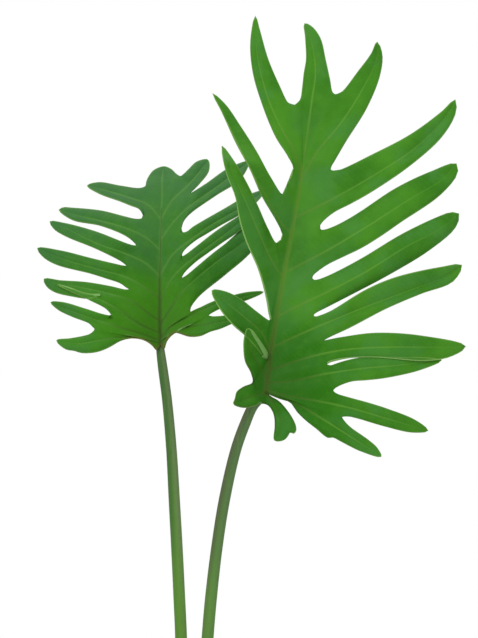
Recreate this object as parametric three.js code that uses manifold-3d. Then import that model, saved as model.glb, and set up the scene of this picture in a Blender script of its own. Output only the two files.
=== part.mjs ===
// Potted winterbourn philodendron: two deeply lobed leaves on long stalks, grown from a
// short rooted stem in a plain clay pot of potting mix.
// Millimetres, +Z up, the leaves' upper sides towards -Y, origin at the middle of the pot's foot.
import * as THREE from 'three';
import { mergeVertices } from 'three/addons/utils/BufferGeometryUtils.js';
import Module from 'manifold-3d';

const wasm = await Module();
wasm.setup();

// Gap that neighbouring pieces keep.
const GAP = 0.3;

// Pot.
const POT_HEIGHT = 140;
const POT_TOP_RADIUS = 78;
const POT_FOOT_RADIUS = 53;
const POT_WALL = 5;
const POT_BASE = 7;
const RIM_HEIGHT = 24;
const RIM_PROUD = 3.5;
const POT_ROUND = 2;
const POT_SEGMENTS = 48;
const DRAIN_HOLES = 4;
const DRAIN_RADIUS = 6;
const DRAIN_RING = 27;
const DRAIN_SEGMENTS = 24;

// Potting mix.
const SOIL_LEVEL = 125;
const SOIL_DOME = 3;
// Top of the mix, from the wall to the middle: share of the radius, share of the dome's height.
const SOIL_TOP = [[1, 0], [0.6, 0.55], [0.25, 0.9], [0, 1]];

// Rooted stem.
const CROWN_CENTRE = [-2, 2];
const CROWN_PROFILE = [[92, 3], [96, 6.5], [104, 9], [116, 10], [127, 9.6], [134, 8], [138, 4.5]];
const CROWN_SEGMENTS = 24;
const ROOT_COUNT = 6;
const ROOT_RADIUS = 2;
const ROOT_TIP_RADIUS = 0.9;
const ROOT_REACH = 40;
const ROOT_TOP = 108;
const ROOT_LOW = 22;
const ROOT_LOW_STEP = 9;
const ROOT_START = 0.25;
// Path of a root: shares of its reach, its fall and its taper, and its turn in radians.
const ROOT_PATH = [[0.125, 0, 0, 0], [0.55, 0.3, 0, 0.15], [0.9, 0.65, 0.5, 0.4], [1, 1, 1, 0.8]];
const ROOT_SIDES = 8;
const ROOT_STEP = 8;

// Stalks, from the stem to the blade: centre points and the radius at each.
const STALK_LOW = [
  [-9.7, 8, 127, 5.6], [-9.6, 9, 142, 4.3], [-9.4, 10.5, 165, 3.75], [-9.6, 12, 188, 3.6],
  [-10.6, 13.5, 211, 3.55], [-12.05, 15.5, 241, 3.5], [-13.7, 17.5, 271, 3.4],
  [-15.4, 19.5, 301, 3.2], [-18.1, 21.8, 331, 3], [-20.9, 23.6, 352, 2.85],
  [-22.4, 25.2, 364.5, 2.3], [-22.4, 27.9, 374, 1.3],
];
const STALK_TALL = [
  [4.2, -5, 127, 5.6], [4, -5.6, 142, 4.3], [4.7, -6.4, 165, 3.75], [6.35, -7.2, 188, 3.6],
  [8.3, -8, 211, 3.6], [11.75, -9, 241, 3.45], [16.45, -10.2, 271, 3.4], [23.3, -11, 301, 3.25],
  [29, -10.9, 317, 3.2], [33.6, -11, 327, 3], [40.2, -10.6, 334.5, 2.6], [43, -11, 342, 1.4],
];
const STALK_SIDES = 12;
const STALK_STEP = 9;

// Young leaf still rolled in its sheath, on top of the stem.
const BUD = [
  [-3, 2.5, 129, 5.5], [-3.4, 3, 137, 4.8], [-4, 3.5, 147, 3.6], [-4.2, 3.8, 158, 2.3],
  [-4, 3.6, 167, 1.1], [-3.7, 3.3, 172, 0.4],
];
const BUD_SIDES = 12;
const BUD_STEP = 4;

// Leaf blades. Points are [right, up] from the top of the stalk, as seen from the front.
const BLADE_THICKNESS = 1;
const MIDRIB_STEPS = 24;
const INNER_ROWS = 2;
const OUTER_ROWS = 7;
const NOTCH_EASE = 1.35;
const MIDRIB_EASE = 2;
const LIFT_EASE = 1.2;
const TOP_COLUMNS = 2;
const SPAN_SAMPLES = 16;
const VEIN_SAMPLES = 60;
const FOLD_FADE = 25;

// Each lobe runs from three steps of the midrib (near side, vein, far side) to its tip:
// near and far are its two edges, notch is where the far edge meets the next lobe, and lift is
// how far its tip stands behind the blade's own curve, or before it where negative.
const TALL_BLADE = {
  junction: [41.5, -14, 335],
  lean: [0.12, 0.0006],
  foldLeft: [-1, 0.004],
  foldRight: [-0.25, 0.0028],
  midrib: [[0, 0], [2, 20], [6, 44], [10, 68], [14.5, 92], [19, 116], [22, 137]],
  heelStart: [[3.5, -2.5], [7, -4.5]],
  heelEnd: [[18.5, -10.5], [14.5, -5.5], [8.5, -3.5]],
  lobes: [
    {
      root: [0, 1, 2], tip: [8.5, -29], notch: [-2.6, -6], lift: 1,
      vein: [[2, -3], [5.5, -8], [9, -16]],
      near: [[11, -8], [16, -16], [18, -21.5], [16, -24.5], [14, -23.5], [12.2, -26.8]],
      far: [[5, -28], [5.5, -19], [4, -11]],
    },
    {
      root: [2, 3, 4], tip: [-19, -5.5], notch: [-7.8, 6.2], lift: 3,
      vein: [[-5, -0.5], [-10, -3]],
      near: [[-6, -7.5], [-10, -9], [-15, -8.5]],
      far: [[-18.5, -0.5], [-16, 2.5], [-12, 4]],
    },
    {
      root: [4, 5, 7], tip: [-11, 38], notch: [-1, 23], lift: -9,
      vein: [[-2.5, 12.5], [-6.5, 20], [-9.5, 28]],
      near: [[-9, 12], [-12.5, 19], [-13.5, 27]],
      far: [[-8, 33.5], [-4, 29]],
    },
    {
      root: [7, 10, 13], tip: [-32.5, 61.5], notch: [2.2, 43.5], lift: 6,
      vein: [[-2.5, 35.5], [-12, 44.5], [-23, 53.5]],
      near: [[-6.5, 28], [-12, 34], [-20.5, 41.5], [-28, 51]],
      far: [[-25, 61], [-15.5, 56.5], [-6, 49]],
    },
    {
      root: [13, 17, 19], tip: [-26.5, 148], notch: [6.2, 89.8], lift: 0,
      vein: [[3.5, 78.5], [-5, 97], [-13, 116], [-20.5, 131.5]],
      near: [[1.4, 48.5], [-0.1, 57.4], [-4.7, 74.2], [-12, 90.9], [-16, 104], [-18.3, 117.5],
        [-24, 132.5]],
      far: [[-20, 140], [-11.5, 125.5], [-5, 112], [1, 98.5]],
    },
    {
      root: [19, 20, 21], tip: [-32, 179.5], notch: [10, 118.5], lift: -4,
      vein: [[8.5, 102.5], [-1, 119], [-9.5, 134], [-20.5, 156.5]],
      near: [[8.9, 92], [9.8, 95.2], [6.5, 102.5], [-2.5, 118], [-9.5, 134], [-17.9, 149.6],
        [-26.5, 168.5]],
      far: [[-24.5, 173], [-15.5, 160], [-6, 145], [2.5, 129.5]],
    },
    {
      root: [21, 23, 24], tip: [-6.5, 226], notch: [16, 172], lift: 4,
      vein: [[18, 141.5], [8.5, 159.5], [0.5, 178], [-5.5, 203]],
      near: [[11.6, 122.6], [13.4, 127.2], [15.6, 130.5], [16.4, 135], [12.6, 142.8], [5.5, 154],
        [-2.5, 173.5], [-8, 192.5], [-9.4, 210.5]],
      far: [[-4, 218], [1, 200.5], [8, 184], [13, 174]],
    },
    {
      root: [24, 24, 24], tip: [23, 221.5], notch: [41.5, 178.5], lift: 5,
      vein: [[25, 158], [27.5, 176], [29.5, 192.5], [27.5, 209]],
      near: [[20.5, 176], [21.8, 184], [22.7, 192], [24, 200], [23.5, 213]],
      far: [[27.5, 219.5], [32.5, 212.5], [35.5, 200], [38.1, 188]],
    },
    {
      root: [24, 23, 22], tip: [66.5, 210.5], notch: [38.3, 133.5], lift: 2,
      vein: [[30.5, 144.5], [43, 159.5], [54.5, 176.5], [65.5, 198.5]],
      near: [[46, 181], [54.5, 192], [63, 203.5]],
      far: [[69.5, 203], [68, 190], [60, 170.5], [48, 151.3], [41, 139.4]],
    },
    {
      root: [22, 21, 19], tip: [113.3, 175.9], notch: [32, 99], lift: 3,
      vein: [[23.5, 108], [43, 118], [65.5, 131], [89.5, 147], [107, 165]],
      near: [[44.3, 133.7], [62.3, 142.3], [86.5, 155], [105, 168.5]],
      far: [[113.5, 168], [105.3, 153.7], [86.2, 136.4], [62.5, 120.3], [50.6, 113.6],
        [40.2, 108.2]],
    },
    {
      root: [19, 17, 15], tip: [114, 137.5], notch: [27.5, 69], lift: 0,
      vein: [[20.5, 77], [38.5, 86.5], [62.5, 101], [86.5, 116.5], [105.5, 128]],
      near: [[39.2, 99.2], [47.4, 103.2], [57.1, 109.1], [77.4, 122.6], [98.3, 132.6]],
      far: [[114.5, 131.5], [104.5, 119], [80.5, 102.4], [68.7, 94.2], [56.8, 86.9], [45.9, 81.7],
        [36.4, 77]],
    },
    {
      root: [15, 13, 12], tip: [115.5, 107.5], notch: [28, 46], lift: -2,
      vein: [[15.5, 50.5], [35.5, 60], [59.5, 72.5], [83.5, 87.5], [104.5, 98.5]],
      near: [[35.4, 69.5], [46.6, 74.9], [59.3, 81.9], [82, 95.6], [104.4, 106.2]],
      far: [[113.5, 99.5], [98.3, 86.6], [74.5, 71.5], [50.3, 58.7], [36.2, 51.5]],
    },
    {
      root: [12, 10, 9], tip: [117.2, 76.7], notch: [33, 31], lift: 2,
      vein: [[15.5, 33], [33.5, 41], [56.5, 50.5], [83.5, 60.5], [104.5, 68.5]],
      near: [[38.5, 49], [60, 62], [77.4, 69.3], [104.4, 75.4]],
      far: [[112, 67], [92.5, 59.5], [71.5, 50.5], [50.5, 39.5]],
    },
    {
      root: [9, 7, 6], tip: [119.5, 28], notch: [36, 16.5], lift: -3,
      vein: [[13, 17.5], [27.5, 22], [47.5, 26], [71.5, 27.5], [98.5, 27.5]],
      near: [[45.5, 33.5], [65.5, 36], [92.6, 34.4]],
      far: [[110.5, 22], [95.5, 19.5], [65.5, 21.5], [47.5, 20.5]],
    },
    {
      root: [6, 5, 4], tip: [105.2, 19.8], notch: [40, 1.5], lift: 3,
      vein: [[14.5, 5], [32.5, 9.5], [56.5, 14], [80.5, 16.5]],
      near: [[44.5, 18.5], [56.5, 21.5], [80.5, 21.5]],
      far: [[92.5, 14], [71.5, 9.2], [60.5, 7.9], [50.7, 7]],
    },
    {
      root: [4, 3, 2], tip: [97, -22.5], notch: [45, -14], lift: 4,
      vein: [[11.5, -1.5], [29.5, -4.5], [50.5, -9], [74.5, -16]],
      near: [[50.5, -2.9], [60.8, -5.7], [71.6, -9.1], [89.5, -16.3]],
      far: [[87.5, -23.5], [71.5, -20], [54.4, -15]],
    },
    {
      root: [2, 1, 0], tip: [68.9, -38.1], notch: [23.5, -16], lift: -3,
      vein: [[11.5, -3], [22, -8.5], [38.5, -18.5], [55, -29]],
      near: [[50.5, -20.5], [61, -28]],
      far: [[56.2, -34.6], [49.9, -31.6], [44.6, -28.8], [39.9, -26.5], [37, -26.7], [30, -21.2]],
    },
  ],
};

const LOW_BLADE = {
  junction: [-22, 22, 364],
  lean: [0.36, 0.0035],
  foldLeft: [-0.34, 0.004],
  foldRight: [-0.38, 0.0045],
  midrib: [[0, 0], [-0.5, 18], [-0.5, 39], [0, 60], [0.5, 81.5]],
  heelStart: [[-4, 0], [-8.5, 2.5], [-15.5, 4]],
  heelEnd: [[8.5, 8], [4, 4]],
  lobes: [
    {
      root: [0, 2, 3], tip: [-62.5, 2.5], notch: [-39.2, 9.5], lift: -3,
      vein: [[-12, 4.5], [-25, 4.5], [-37, 2.5], [-49, 0.5]],
      near: [[-23.3, 2.6], [-30.8, -1.5], [-36, -3.7], [-41, -4.8], [-47.5, -4.9], [-52, -3.6],
        [-57, -2.7]],
      far: [[-54, 3.7], [-43.2, 6]],
    },
    {
      root: [3, 4, 6], tip: [-66, 25.5], notch: [-30, 17.4], lift: 3,
      vein: [[-13, 7], [-29, 11.5], [-45, 17], [-57, 21.5]],
      near: [[-43, 12.9], [-53, 16.8], [-61.5, 21]],
      far: [[-59, 25.5], [-45, 21.5]],
    },
    {
      root: [6, 7, 8], tip: [-62.5, 35.5], notch: [-36, 31], lift: -2,
      vein: [[-11, 11.5], [-24, 20], [-37, 27], [-51, 33]],
      near: [[-32.6, 21.8], [-41.2, 26.6], [-51, 31]],
      far: [[-56.5, 36.5], [-47, 35]],
    },
    {
      root: [8, 10, 12], tip: [-70, 39.5], notch: [-17, 32.5], lift: 1.5,
      vein: [[-7, 18.5], [-17, 26], [-31, 30.5], [-51, 35]],
      near: [[-42, 29.3], [-54, 29.2], [-63.7, 31.7], [-68.5, 35.2]],
      far: [[-60, 38.5], [-45, 37.5], [-30, 35]],
    },
    {
      root: [12, 14, 15], tip: [-74, 58], notch: [-20.2, 46.6], lift: 2,
      vein: [[-8.5, 33.5], [-21, 40.5], [-39, 45.5], [-59, 51.5]],
      near: [[-24.2, 37], [-32.5, 39.8], [-42, 42.8], [-63, 48.3], [-70.8, 53]],
      far: [[-60, 56.5], [-42, 52], [-27.8, 48.6]],
    },
    {
      root: [15, 17, 19], tip: [-66.5, 74], notch: [-14, 59.5], lift: -2,
      vein: [[-8.5, 48.5], [-21, 54.5], [-39, 61], [-55, 69]],
      near: [[-24, 50.4], [-39, 57.8], [-57.4, 65.4], [-64, 69.6]],
      far: [[-57.6, 73], [-39, 68]],
    },
    {
      root: [19, 20, 22], tip: [-61, 81], notch: [-10, 76], lift: 3,
      vein: [[-8.5, 64], [-21, 70], [-37, 74.5], [-51.5, 78]],
      near: [[-21, 65.5], [-36, 71.5], [-53, 75]],
      far: [[-58.3, 82.4], [-54, 82.2], [-36, 80.5]],
    },
    {
      root: [22, 23, 24], tip: [-44, 95.5], notch: [-8.8, 95.3], lift: 0,
      vein: [[-7, 83.5], [-18, 88], [-31, 92]],
      near: [[-12.9, 81.6], [-18, 83.6], [-24.2, 86.1], [-37, 90.8]],
      far: [[-37, 97.5], [-24, 95.4]],
    },
    {
      root: [24, 24, 24], tip: [2, 107], notch: [12, 101], lift: 4,
      vein: [[1, 90], [1, 98]],
      near: [[-7.5, 100.2], [-4.2, 104.6]],
      far: [[6.3, 105.5]],
    },
    {
      root: [24, 23, 22], tip: [28.5, 111], notch: [17, 90.5], lift: 1,
      vein: [[7, 86.5], [14.5, 93.5], [23, 103]],
      near: [[17, 105.5], [22, 110]],
      far: [[29, 104.5], [23.4, 96.7]],
    },
    {
      root: [22, 21, 19], tip: [53, 110], notch: [13.5, 67], lift: 4,
      vein: [[7, 72.5], [18, 83.5], [35, 95.5]],
      near: [[27.2, 96.6], [41, 106.1]],
      far: [[48, 99.5], [33, 89.5], [17.3, 78.3], [13, 72.1]],
    },
    {
      root: [19, 17, 15], tip: [62.5, 92.5], notch: [13, 52.5], lift: 4,
      vein: [[7, 53.5], [15.5, 61], [30, 71.5], [48, 82]],
      near: [[20, 71], [39, 82], [54, 90.5]],
      far: [[55, 83], [36, 71.7], [28, 66.9], [20.5, 62.3]],
    },
    {
      root: [15, 13, 11], tip: [57, 82], notch: [12.8, 39.8], lift: -4,
      vein: [[6, 38.5], [14.5, 47.5], [27, 57.5], [43, 69.5]],
      near: [[21, 58.5], [36, 70]],
      far: [[51.5, 72], [36, 60.6], [28, 54.9], [20.6, 49.4]],
    },
    {
      root: [11, 9, 7], tip: [62, 70], notch: [17.8, 19.3], lift: 1,
      vein: [[5, 20], [14.5, 33], [29, 46], [47, 59]],
      near: [[23, 47.7], [30.4, 53.9], [38.4, 60.1], [54, 72]],
      far: [[55, 56.5], [38.7, 41.9], [23.6, 29.6], [18.8, 23.7]],
    },
    {
      root: [7, 5, 4], tip: [62, 31.7], notch: [29, 17.5], lift: 2,
      vein: [[7, 11.5], [17, 17], [31, 23.5], [48, 28]],
      near: [[24, 22.3], [31, 25.6], [39, 28.3], [53, 31.6]],
      far: [[53.2, 27.3], [39, 23]],
    },
    {
      root: [4, 2, 0], tip: [49, 16], notch: [11.8, 6.6], lift: -2,
      vein: [[6, 7], [15.5, 10.5], [27.5, 12]],
      near: [[35, 17], [43, 17.5]],
      far: [[41, 11.8], [35.6, 9.5], [30, 7.9], [24, 5.3], [17.5, 4.9]],
    },
  ],
};

// Materials.
function finish(color, roughness) {
  return new THREE.MeshStandardMaterial({ color, roughness, metalness: 0 });
}

const CLAY = finish(0xb56a47, 0.85);
const MIX = finish(0x3a2a1e, 0.95);
const STEM = finish(0x7a6a45, 0.8);
const STALK = finish(0x5d7a3c, 0.45);
const LEAF = finish(0x3f7a2e, 0.35);
const SHEATH = finish(0x8ea35a, 0.5);

// Solids: from a geometry, and back to one.
function solidOf(geometry) {
  const bare = new THREE.BufferGeometry();
  bare.setAttribute('position', geometry.getAttribute('position'));
  bare.setIndex(geometry.getIndex());
  const merged = mergeVertices(bare, 1e-4);
  const vertProperties = new Float32Array(merged.getAttribute('position').array);
  const triVerts = new Uint32Array(merged.getIndex().array);
  return new wasm.Manifold(new wasm.Mesh({ numProp: 3, vertProperties, triVerts }));
}

function geometryOf(solid) {
  const mesh = solid.getMesh();
  const geometry = new THREE.BufferGeometry();
  const positions = new Float32Array(mesh.numVert * 3);
  for (let i = 0; i < mesh.numVert; i += 1) {
    for (let axis = 0; axis < 3; axis += 1) {
      positions[3 * i + axis] = mesh.vertProperties[mesh.numProp * i + axis];
    }
  }
  geometry.setAttribute('position', new THREE.BufferAttribute(positions, 3));
  geometry.setIndex(new THREE.BufferAttribute(new Uint32Array(mesh.triVerts), 1));
  return geometry;
}

// The piece of a cut solid that holds most of its volume.
function largestPiece(solid) {
  return solid.decompose().reduce((best, piece) => (piece.volume() > best.volume() ? piece : best));
}

// A closed, round-sectioned body that tapers along a curve. rows are [x, y, z, radius].
function taperedTube(rows, sides, step, grow = 0) {
  const curve = new THREE.CatmullRomCurve3(
    rows.map(([x, y, z]) => new THREE.Vector3(x, y, z)), false, 'centripetal');
  const rings = Math.max(4, Math.round(curve.getLength() / step));
  const frames = curve.computeFrenetFrames(rings, false);
  const positions = [];
  const faces = [];
  const addRing = (centre, i, radius) => {
    for (let side = 0; side < sides; side += 1) {
      const angle = (2 * Math.PI * side) / sides;
      const point = centre.clone()
        .addScaledVector(frames.normals[i], Math.cos(angle) * radius)
        .addScaledVector(frames.binormals[i], Math.sin(angle) * radius);
      positions.push(point.x, point.y, point.z);
    }
  };
  for (let i = 0; i <= rings; i += 1) {
    const t = curve.getUtoTmapping(i / rings) * (rows.length - 1);
    const row = Math.min(Math.floor(t), rows.length - 2);
    const radius = THREE.MathUtils.lerp(rows[row][3], rows[row + 1][3], t - row);
    const centre = curve.getPointAt(i / rings);
    if (i === 0) centre.addScaledVector(frames.tangents[0], -grow);
    if (i === rings) centre.addScaledVector(frames.tangents[rings], grow);
    addRing(centre, i, radius + grow);
  }
  for (let i = 0; i < rings; i += 1) {
    for (let side = 0; side < sides; side += 1) {
      const next = (side + 1) % sides;
      const a = i * sides + side;
      const b = i * sides + next;
      faces.push(a, b, b + sides, a, b + sides, a + sides);
    }
  }
  for (let side = 1; side < sides - 1; side += 1) {
    faces.push(0, side + 1, side);
    const last = rings * sides;
    faces.push(last, last + side, last + side + 1);
  }
  const geometry = new THREE.BufferGeometry();
  geometry.setAttribute('position', new THREE.Float32BufferAttribute(positions, 3));
  geometry.setIndex(faces);
  return geometry;
}

function latheSolid(profile, segments) {
  const points = profile.map(([radius, height]) => new THREE.Vector2(radius, height));
  const geometry = new THREE.LatheGeometry(points, segments);
  geometry.rotateX(Math.PI / 2);
  return solidOf(geometry);
}

// Pot: a tapered clay wall with a proud rim, an open top and drain holes round the foot's middle.
function wallRadius(height) {
  return THREE.MathUtils.lerp(POT_FOOT_RADIUS, POT_TOP_RADIUS - RIM_PROUD, height / POT_HEIGHT);
}

function makePot() {
  const rimLow = POT_HEIGHT - RIM_HEIGHT;
  const inner = (height) => wallRadius(height) - POT_WALL;
  const profile = [
    [0, 0],
    [wallRadius(0) - POT_ROUND, 0],
    [wallRadius(POT_ROUND), POT_ROUND],
    [wallRadius(rimLow), rimLow],
    [POT_TOP_RADIUS - POT_ROUND, rimLow + POT_ROUND],
    [POT_TOP_RADIUS, rimLow + 2 * POT_ROUND],
    [POT_TOP_RADIUS, POT_HEIGHT - POT_ROUND],
    [POT_TOP_RADIUS - POT_ROUND, POT_HEIGHT],
    [inner(POT_HEIGHT) + POT_ROUND, POT_HEIGHT],
    [inner(POT_HEIGHT), POT_HEIGHT - POT_ROUND],
    [inner(POT_BASE), POT_BASE],
    [0, POT_BASE],
  ];
  let pot = latheSolid(profile, POT_SEGMENTS);
  for (let i = 0; i < DRAIN_HOLES; i += 1) {
    const angle = (2 * Math.PI * (i + 0.5)) / DRAIN_HOLES;
    const drill = new THREE.CylinderGeometry(
      DRAIN_RADIUS, DRAIN_RADIUS, 3 * POT_BASE, DRAIN_SEGMENTS);
    drill.rotateX(Math.PI / 2);
    drill.translate(DRAIN_RING * Math.cos(angle), DRAIN_RING * Math.sin(angle), POT_BASE / 2);
    pot = pot.subtract(solidOf(drill));
  }
  return pot;
}

// Stem: a short stout crown whose roots arch out and down through the mix.
function makeCrown(grow) {
  const profile = CROWN_PROFILE.map(([height, radius]) => [radius + grow, height]);
  profile[0][1] -= grow;
  profile[profile.length - 1][1] += grow;
  profile.unshift([0, profile[0][1]]);
  profile.push([0, profile[profile.length - 1][1]]);
  const [x, y] = CROWN_CENTRE;
  return latheSolid(profile, CROWN_SEGMENTS).translate([x, y, 0]);
}

function rootRows(i) {
  const start = (2 * Math.PI * (i + ROOT_START)) / ROOT_COUNT;
  const depth = ROOT_LOW + ROOT_LOW_STEP * (i % 3);
  const [x, y] = CROWN_CENTRE;
  return ROOT_PATH.map(([out, fall, taper, turn]) => [
    x + out * ROOT_REACH * Math.cos(start + turn),
    y + out * ROOT_REACH * Math.sin(start + turn),
    THREE.MathUtils.lerp(ROOT_TOP, depth, fall),
    THREE.MathUtils.lerp(ROOT_RADIUS, ROOT_TIP_RADIUS, taper),
  ]);
}

function makeRootstock(grow) {
  let stock = makeCrown(grow);
  for (let i = 0; i < ROOT_COUNT; i += 1) {
    stock = stock.add(solidOf(taperedTube(rootRows(i), ROOT_SIDES, ROOT_STEP, grow)));
  }
  return stock;
}

// Potting mix: fills the pot to the soil line, a little higher at the stem.
function makeSoil(parts) {
  const fill = (height) => wallRadius(height) - POT_WALL - GAP;
  const low = POT_BASE + GAP;
  const edge = SOIL_LEVEL - SOIL_DOME;
  const profile = [[0, low], [fill(low), low]];
  for (const [out, up] of SOIL_TOP) {
    profile.push([out * fill(edge), edge + up * SOIL_DOME]);
  }
  let soil = latheSolid(profile, POT_SEGMENTS);
  for (const part of parts) {
    soil = soil.subtract(part);
  }
  return largestPiece(soil);
}

// Outline work in the plane of the front view.
function smoothLine(points) {
  return new THREE.CatmullRomCurve3(
    points.map(([x, z]) => new THREE.Vector3(x, 0, z)), false, 'centripetal');
}

// Points along a stretch of a curve, between two of its own points. They lie closer together
// at its start where ease is over 1.
function spread(curve, first, last, rows, ease) {
  const spans = curve.points.length - 1;
  const fine = [];
  const count = SPAN_SAMPLES * Math.max(1, Math.abs(last - first));
  for (let i = 0; i <= count; i += 1) {
    fine.push(curve.getPoint((first + ((last - first) * i) / count) / spans));
  }
  return stepsAlong(fine, rows, ease);
}

function stepsAlong(fine, rows, ease) {
  const lengths = [0];
  for (let i = 1; i < fine.length; i += 1) {
    lengths.push(lengths[i - 1] + fine[i].distanceTo(fine[i - 1]));
  }
  const total = lengths[lengths.length - 1];
  const result = [];
  let at = 1;
  for (let row = 0; row <= rows; row += 1) {
    const want = total * (row / rows) ** ease;
    while (at < fine.length - 1 && lengths[at] < want) at += 1;
    const share = (want - lengths[at - 1]) / Math.max(lengths[at] - lengths[at - 1], 1e-9);
    result.push(fine[at - 1].clone().lerp(fine[at], THREE.MathUtils.clamp(share, 0, 1)));
  }
  return result;
}

// Depth of the blade's own curve at a point of the front view: it leans back with height,
// and its halves fold towards the front and then droop away again.
function bladeDepth(blade, point) {
  const ribs = blade.midrib;
  const top = ribs[ribs.length - 1];
  let ribX = point.z > 0 ? top[0] : 0;
  for (let i = 1; i < ribs.length; i += 1) {
    if (point.z > ribs[i - 1][1] && point.z <= ribs[i][1]) {
      const share = (point.z - ribs[i - 1][1]) / (ribs[i][1] - ribs[i - 1][1]);
      ribX = THREE.MathUtils.lerp(ribs[i - 1][0], ribs[i][0], share);
    }
  }
  const side = point.x - ribX;
  const [fold, droop] = side < 0 ? blade.foldLeft : blade.foldRight;
  const fade = 1 / (1 + Math.max(0, point.z - top[1]) / FOLD_FADE);
  const [lean, arch] = blade.lean;
  const arched = arch * point.z * Math.abs(point.z);
  return lean * point.z + arched + fade * fold * Math.abs(side) + droop * side * side;
}

// One lobe as a grid of points, from the midrib (row 0) to the tip, near edge to far edge.
function lobeGrid(blade, lobe, nearSeam, farSeam, nearEdge, farEdge, midribAt) {
  const vein = smoothLine([midribAt(lobe.root[1]), ...lobe.vein, lobe.tip]);
  const veinFine = spread(vein, 0, vein.points.length - 1, VEIN_SAMPLES, 1);
  const middle = nearEdge[0].clone().lerp(farEdge[0], 0.5);
  let split = 1;
  veinFine.forEach((point, i) => {
    if (point.distanceTo(middle) < veinFine[split].distanceTo(middle)) split = Math.max(1, i);
  });
  const inner = stepsAlong(veinFine.slice(0, split + 1), INNER_ROWS, 1);
  const outer = stepsAlong(veinFine.slice(split), OUTER_ROWS, NOTCH_EASE);
  const near = [...nearSeam, ...nearEdge.slice(1)];
  const spine = [...inner, ...outer.slice(1)];
  const far = [...farSeam, ...farEdge.slice(1)];
  const nearColumns = Math.abs(lobe.root[1] - lobe.root[0]) || TOP_COLUMNS;
  const farColumns = Math.abs(lobe.root[2] - lobe.root[1]) || TOP_COLUMNS;
  return spine.map((centre, row) => {
    const beyond = Math.max(0, row - INNER_ROWS) / OUTER_ROWS;
    const line = [];
    for (let i = 0; i <= nearColumns + farColumns; i += 1) {
      let point;
      if (row === 0) {
        const at = i <= nearColumns
          ? THREE.MathUtils.lerp(lobe.root[0], lobe.root[1], i / nearColumns)
          : THREE.MathUtils.lerp(lobe.root[1], lobe.root[2], (i - nearColumns) / farColumns);
        const [x, z] = midribAt(at);
        point = new THREE.Vector3(x, 0, z);
      } else if (i <= nearColumns) {
        point = near[row].clone().lerp(centre, i / nearColumns);
      } else {
        point = centre.clone().lerp(far[row], (i - nearColumns) / farColumns);
      }
      point.y = bladeDepth(blade, point) + lobe.lift * beyond ** LIFT_EASE;
      line.push(point);
    }
    return line;
  });
}

// The whole blade as one sheet of triangles whose shared points are merged.
function bladeSheet(blade) {
  const midrib = smoothLine(blade.midrib);
  const midribAt = (step) => {
    const point = midrib.getPointAt(Math.min(1, (step / MIDRIB_STEPS) ** MIDRIB_EASE));
    return [point.x, point.z];
  };
  const outline = [[0, 0], ...blade.heelStart];
  const marks = [blade.heelStart.length];
  for (const lobe of blade.lobes) {
    outline.push(...lobe.near, lobe.tip, ...lobe.far, lobe.notch);
    marks.push(marks[marks.length - 1] + lobe.near.length + 1 + lobe.far.length + 1);
  }
  outline.push(...blade.heelEnd, [0, 0]);
  const edge = smoothLine(outline);
  const lastMark = blade.lobes.length;
  const seamAt = (mark) => {
    if (mark === 0) return spread(edge, 0, marks[0], INNER_ROWS, 1);
    if (mark === lastMark) {
      return spread(edge, outline.length - 1, marks[lastMark], INNER_ROWS, 1);
    }
    const [x, z] = midribAt(blade.lobes[mark].root[0]);
    const start = new THREE.Vector3(x, 0, z);
    const end = edge.points[marks[mark]];
    return stepsAlong([start, end], INNER_ROWS, 1);
  };
  const positions = [];
  blade.lobes.forEach((lobe, i) => {
    const tipMark = marks[i] + lobe.near.length + 1;
    const nearEdge = spread(edge, marks[i], tipMark, OUTER_ROWS, NOTCH_EASE);
    const farEdge = spread(edge, marks[i + 1], tipMark, OUTER_ROWS, NOTCH_EASE);
    const grid = lobeGrid(blade, lobe, seamAt(i), seamAt(i + 1), nearEdge, farEdge, midribAt);
    for (let row = 0; row < grid.length - 1; row += 1) {
      for (let column = 0; column < grid[row].length - 1; column += 1) {
        const [here, next] = [grid[row], grid[row + 1]];
        const corners = [here[column], here[column + 1], next[column + 1], next[column]];
        for (const [a, b, c] of [[0, 1, 2], [0, 2, 3]]) {
          for (const corner of [corners[a], corners[b], corners[c]]) {
            positions.push(corner.x, corner.y, corner.z);
          }
        }
      }
    }
  });
  const loose = new THREE.BufferGeometry();
  loose.setAttribute('position', new THREE.Float32BufferAttribute(positions, 3));
  const merged = mergeVertices(loose, 1e-3);
  const index = Array.from(merged.getIndex().array);
  const faces = [];
  for (let i = 0; i < index.length; i += 3) {
    const [a, b, c] = index.slice(i, i + 3);
    if (a !== b && b !== c && c !== a) faces.push(a, b, c);
  }
  merged.setIndex(faces);
  return merged;
}

// The sheet given its thickness: a front skin, a back skin and a rim along every free edge.
function makeBlade(blade, thickness) {
  const sheet = bladeSheet(blade);
  sheet.computeVertexNormals();
  const place = sheet.getAttribute('position');
  const normal = sheet.getAttribute('normal');
  const count = place.count;
  const positions = [];
  for (const offset of [thickness / 2, -thickness / 2]) {
    for (let i = 0; i < count; i += 1) {
      positions.push(
        blade.junction[0] + place.getX(i) + offset * normal.getX(i),
        blade.junction[1] + place.getY(i) + offset * normal.getY(i),
        blade.junction[2] + place.getZ(i) + offset * normal.getZ(i));
    }
  }
  const front = Array.from(sheet.getIndex().array);
  const faces = [...front];
  const edges = new Set();
  for (let i = 0; i < front.length; i += 3) {
    const [a, b, c] = front.slice(i, i + 3);
    faces.push(a + count, c + count, b + count);
    for (const pair of [[a, b], [b, c], [c, a]]) edges.add(`${pair[0]},${pair[1]}`);
  }
  for (const key of edges) {
    const [a, b] = key.split(',').map(Number);
    if (!edges.has(`${b},${a}`)) {
      faces.push(a, a + count, b + count, a, b + count, b);
    }
  }
  const geometry = new THREE.BufferGeometry();
  geometry.setAttribute('position', new THREE.Float32BufferAttribute(positions, 3));
  geometry.setIndex(faces);
  return geometry;
}

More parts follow.
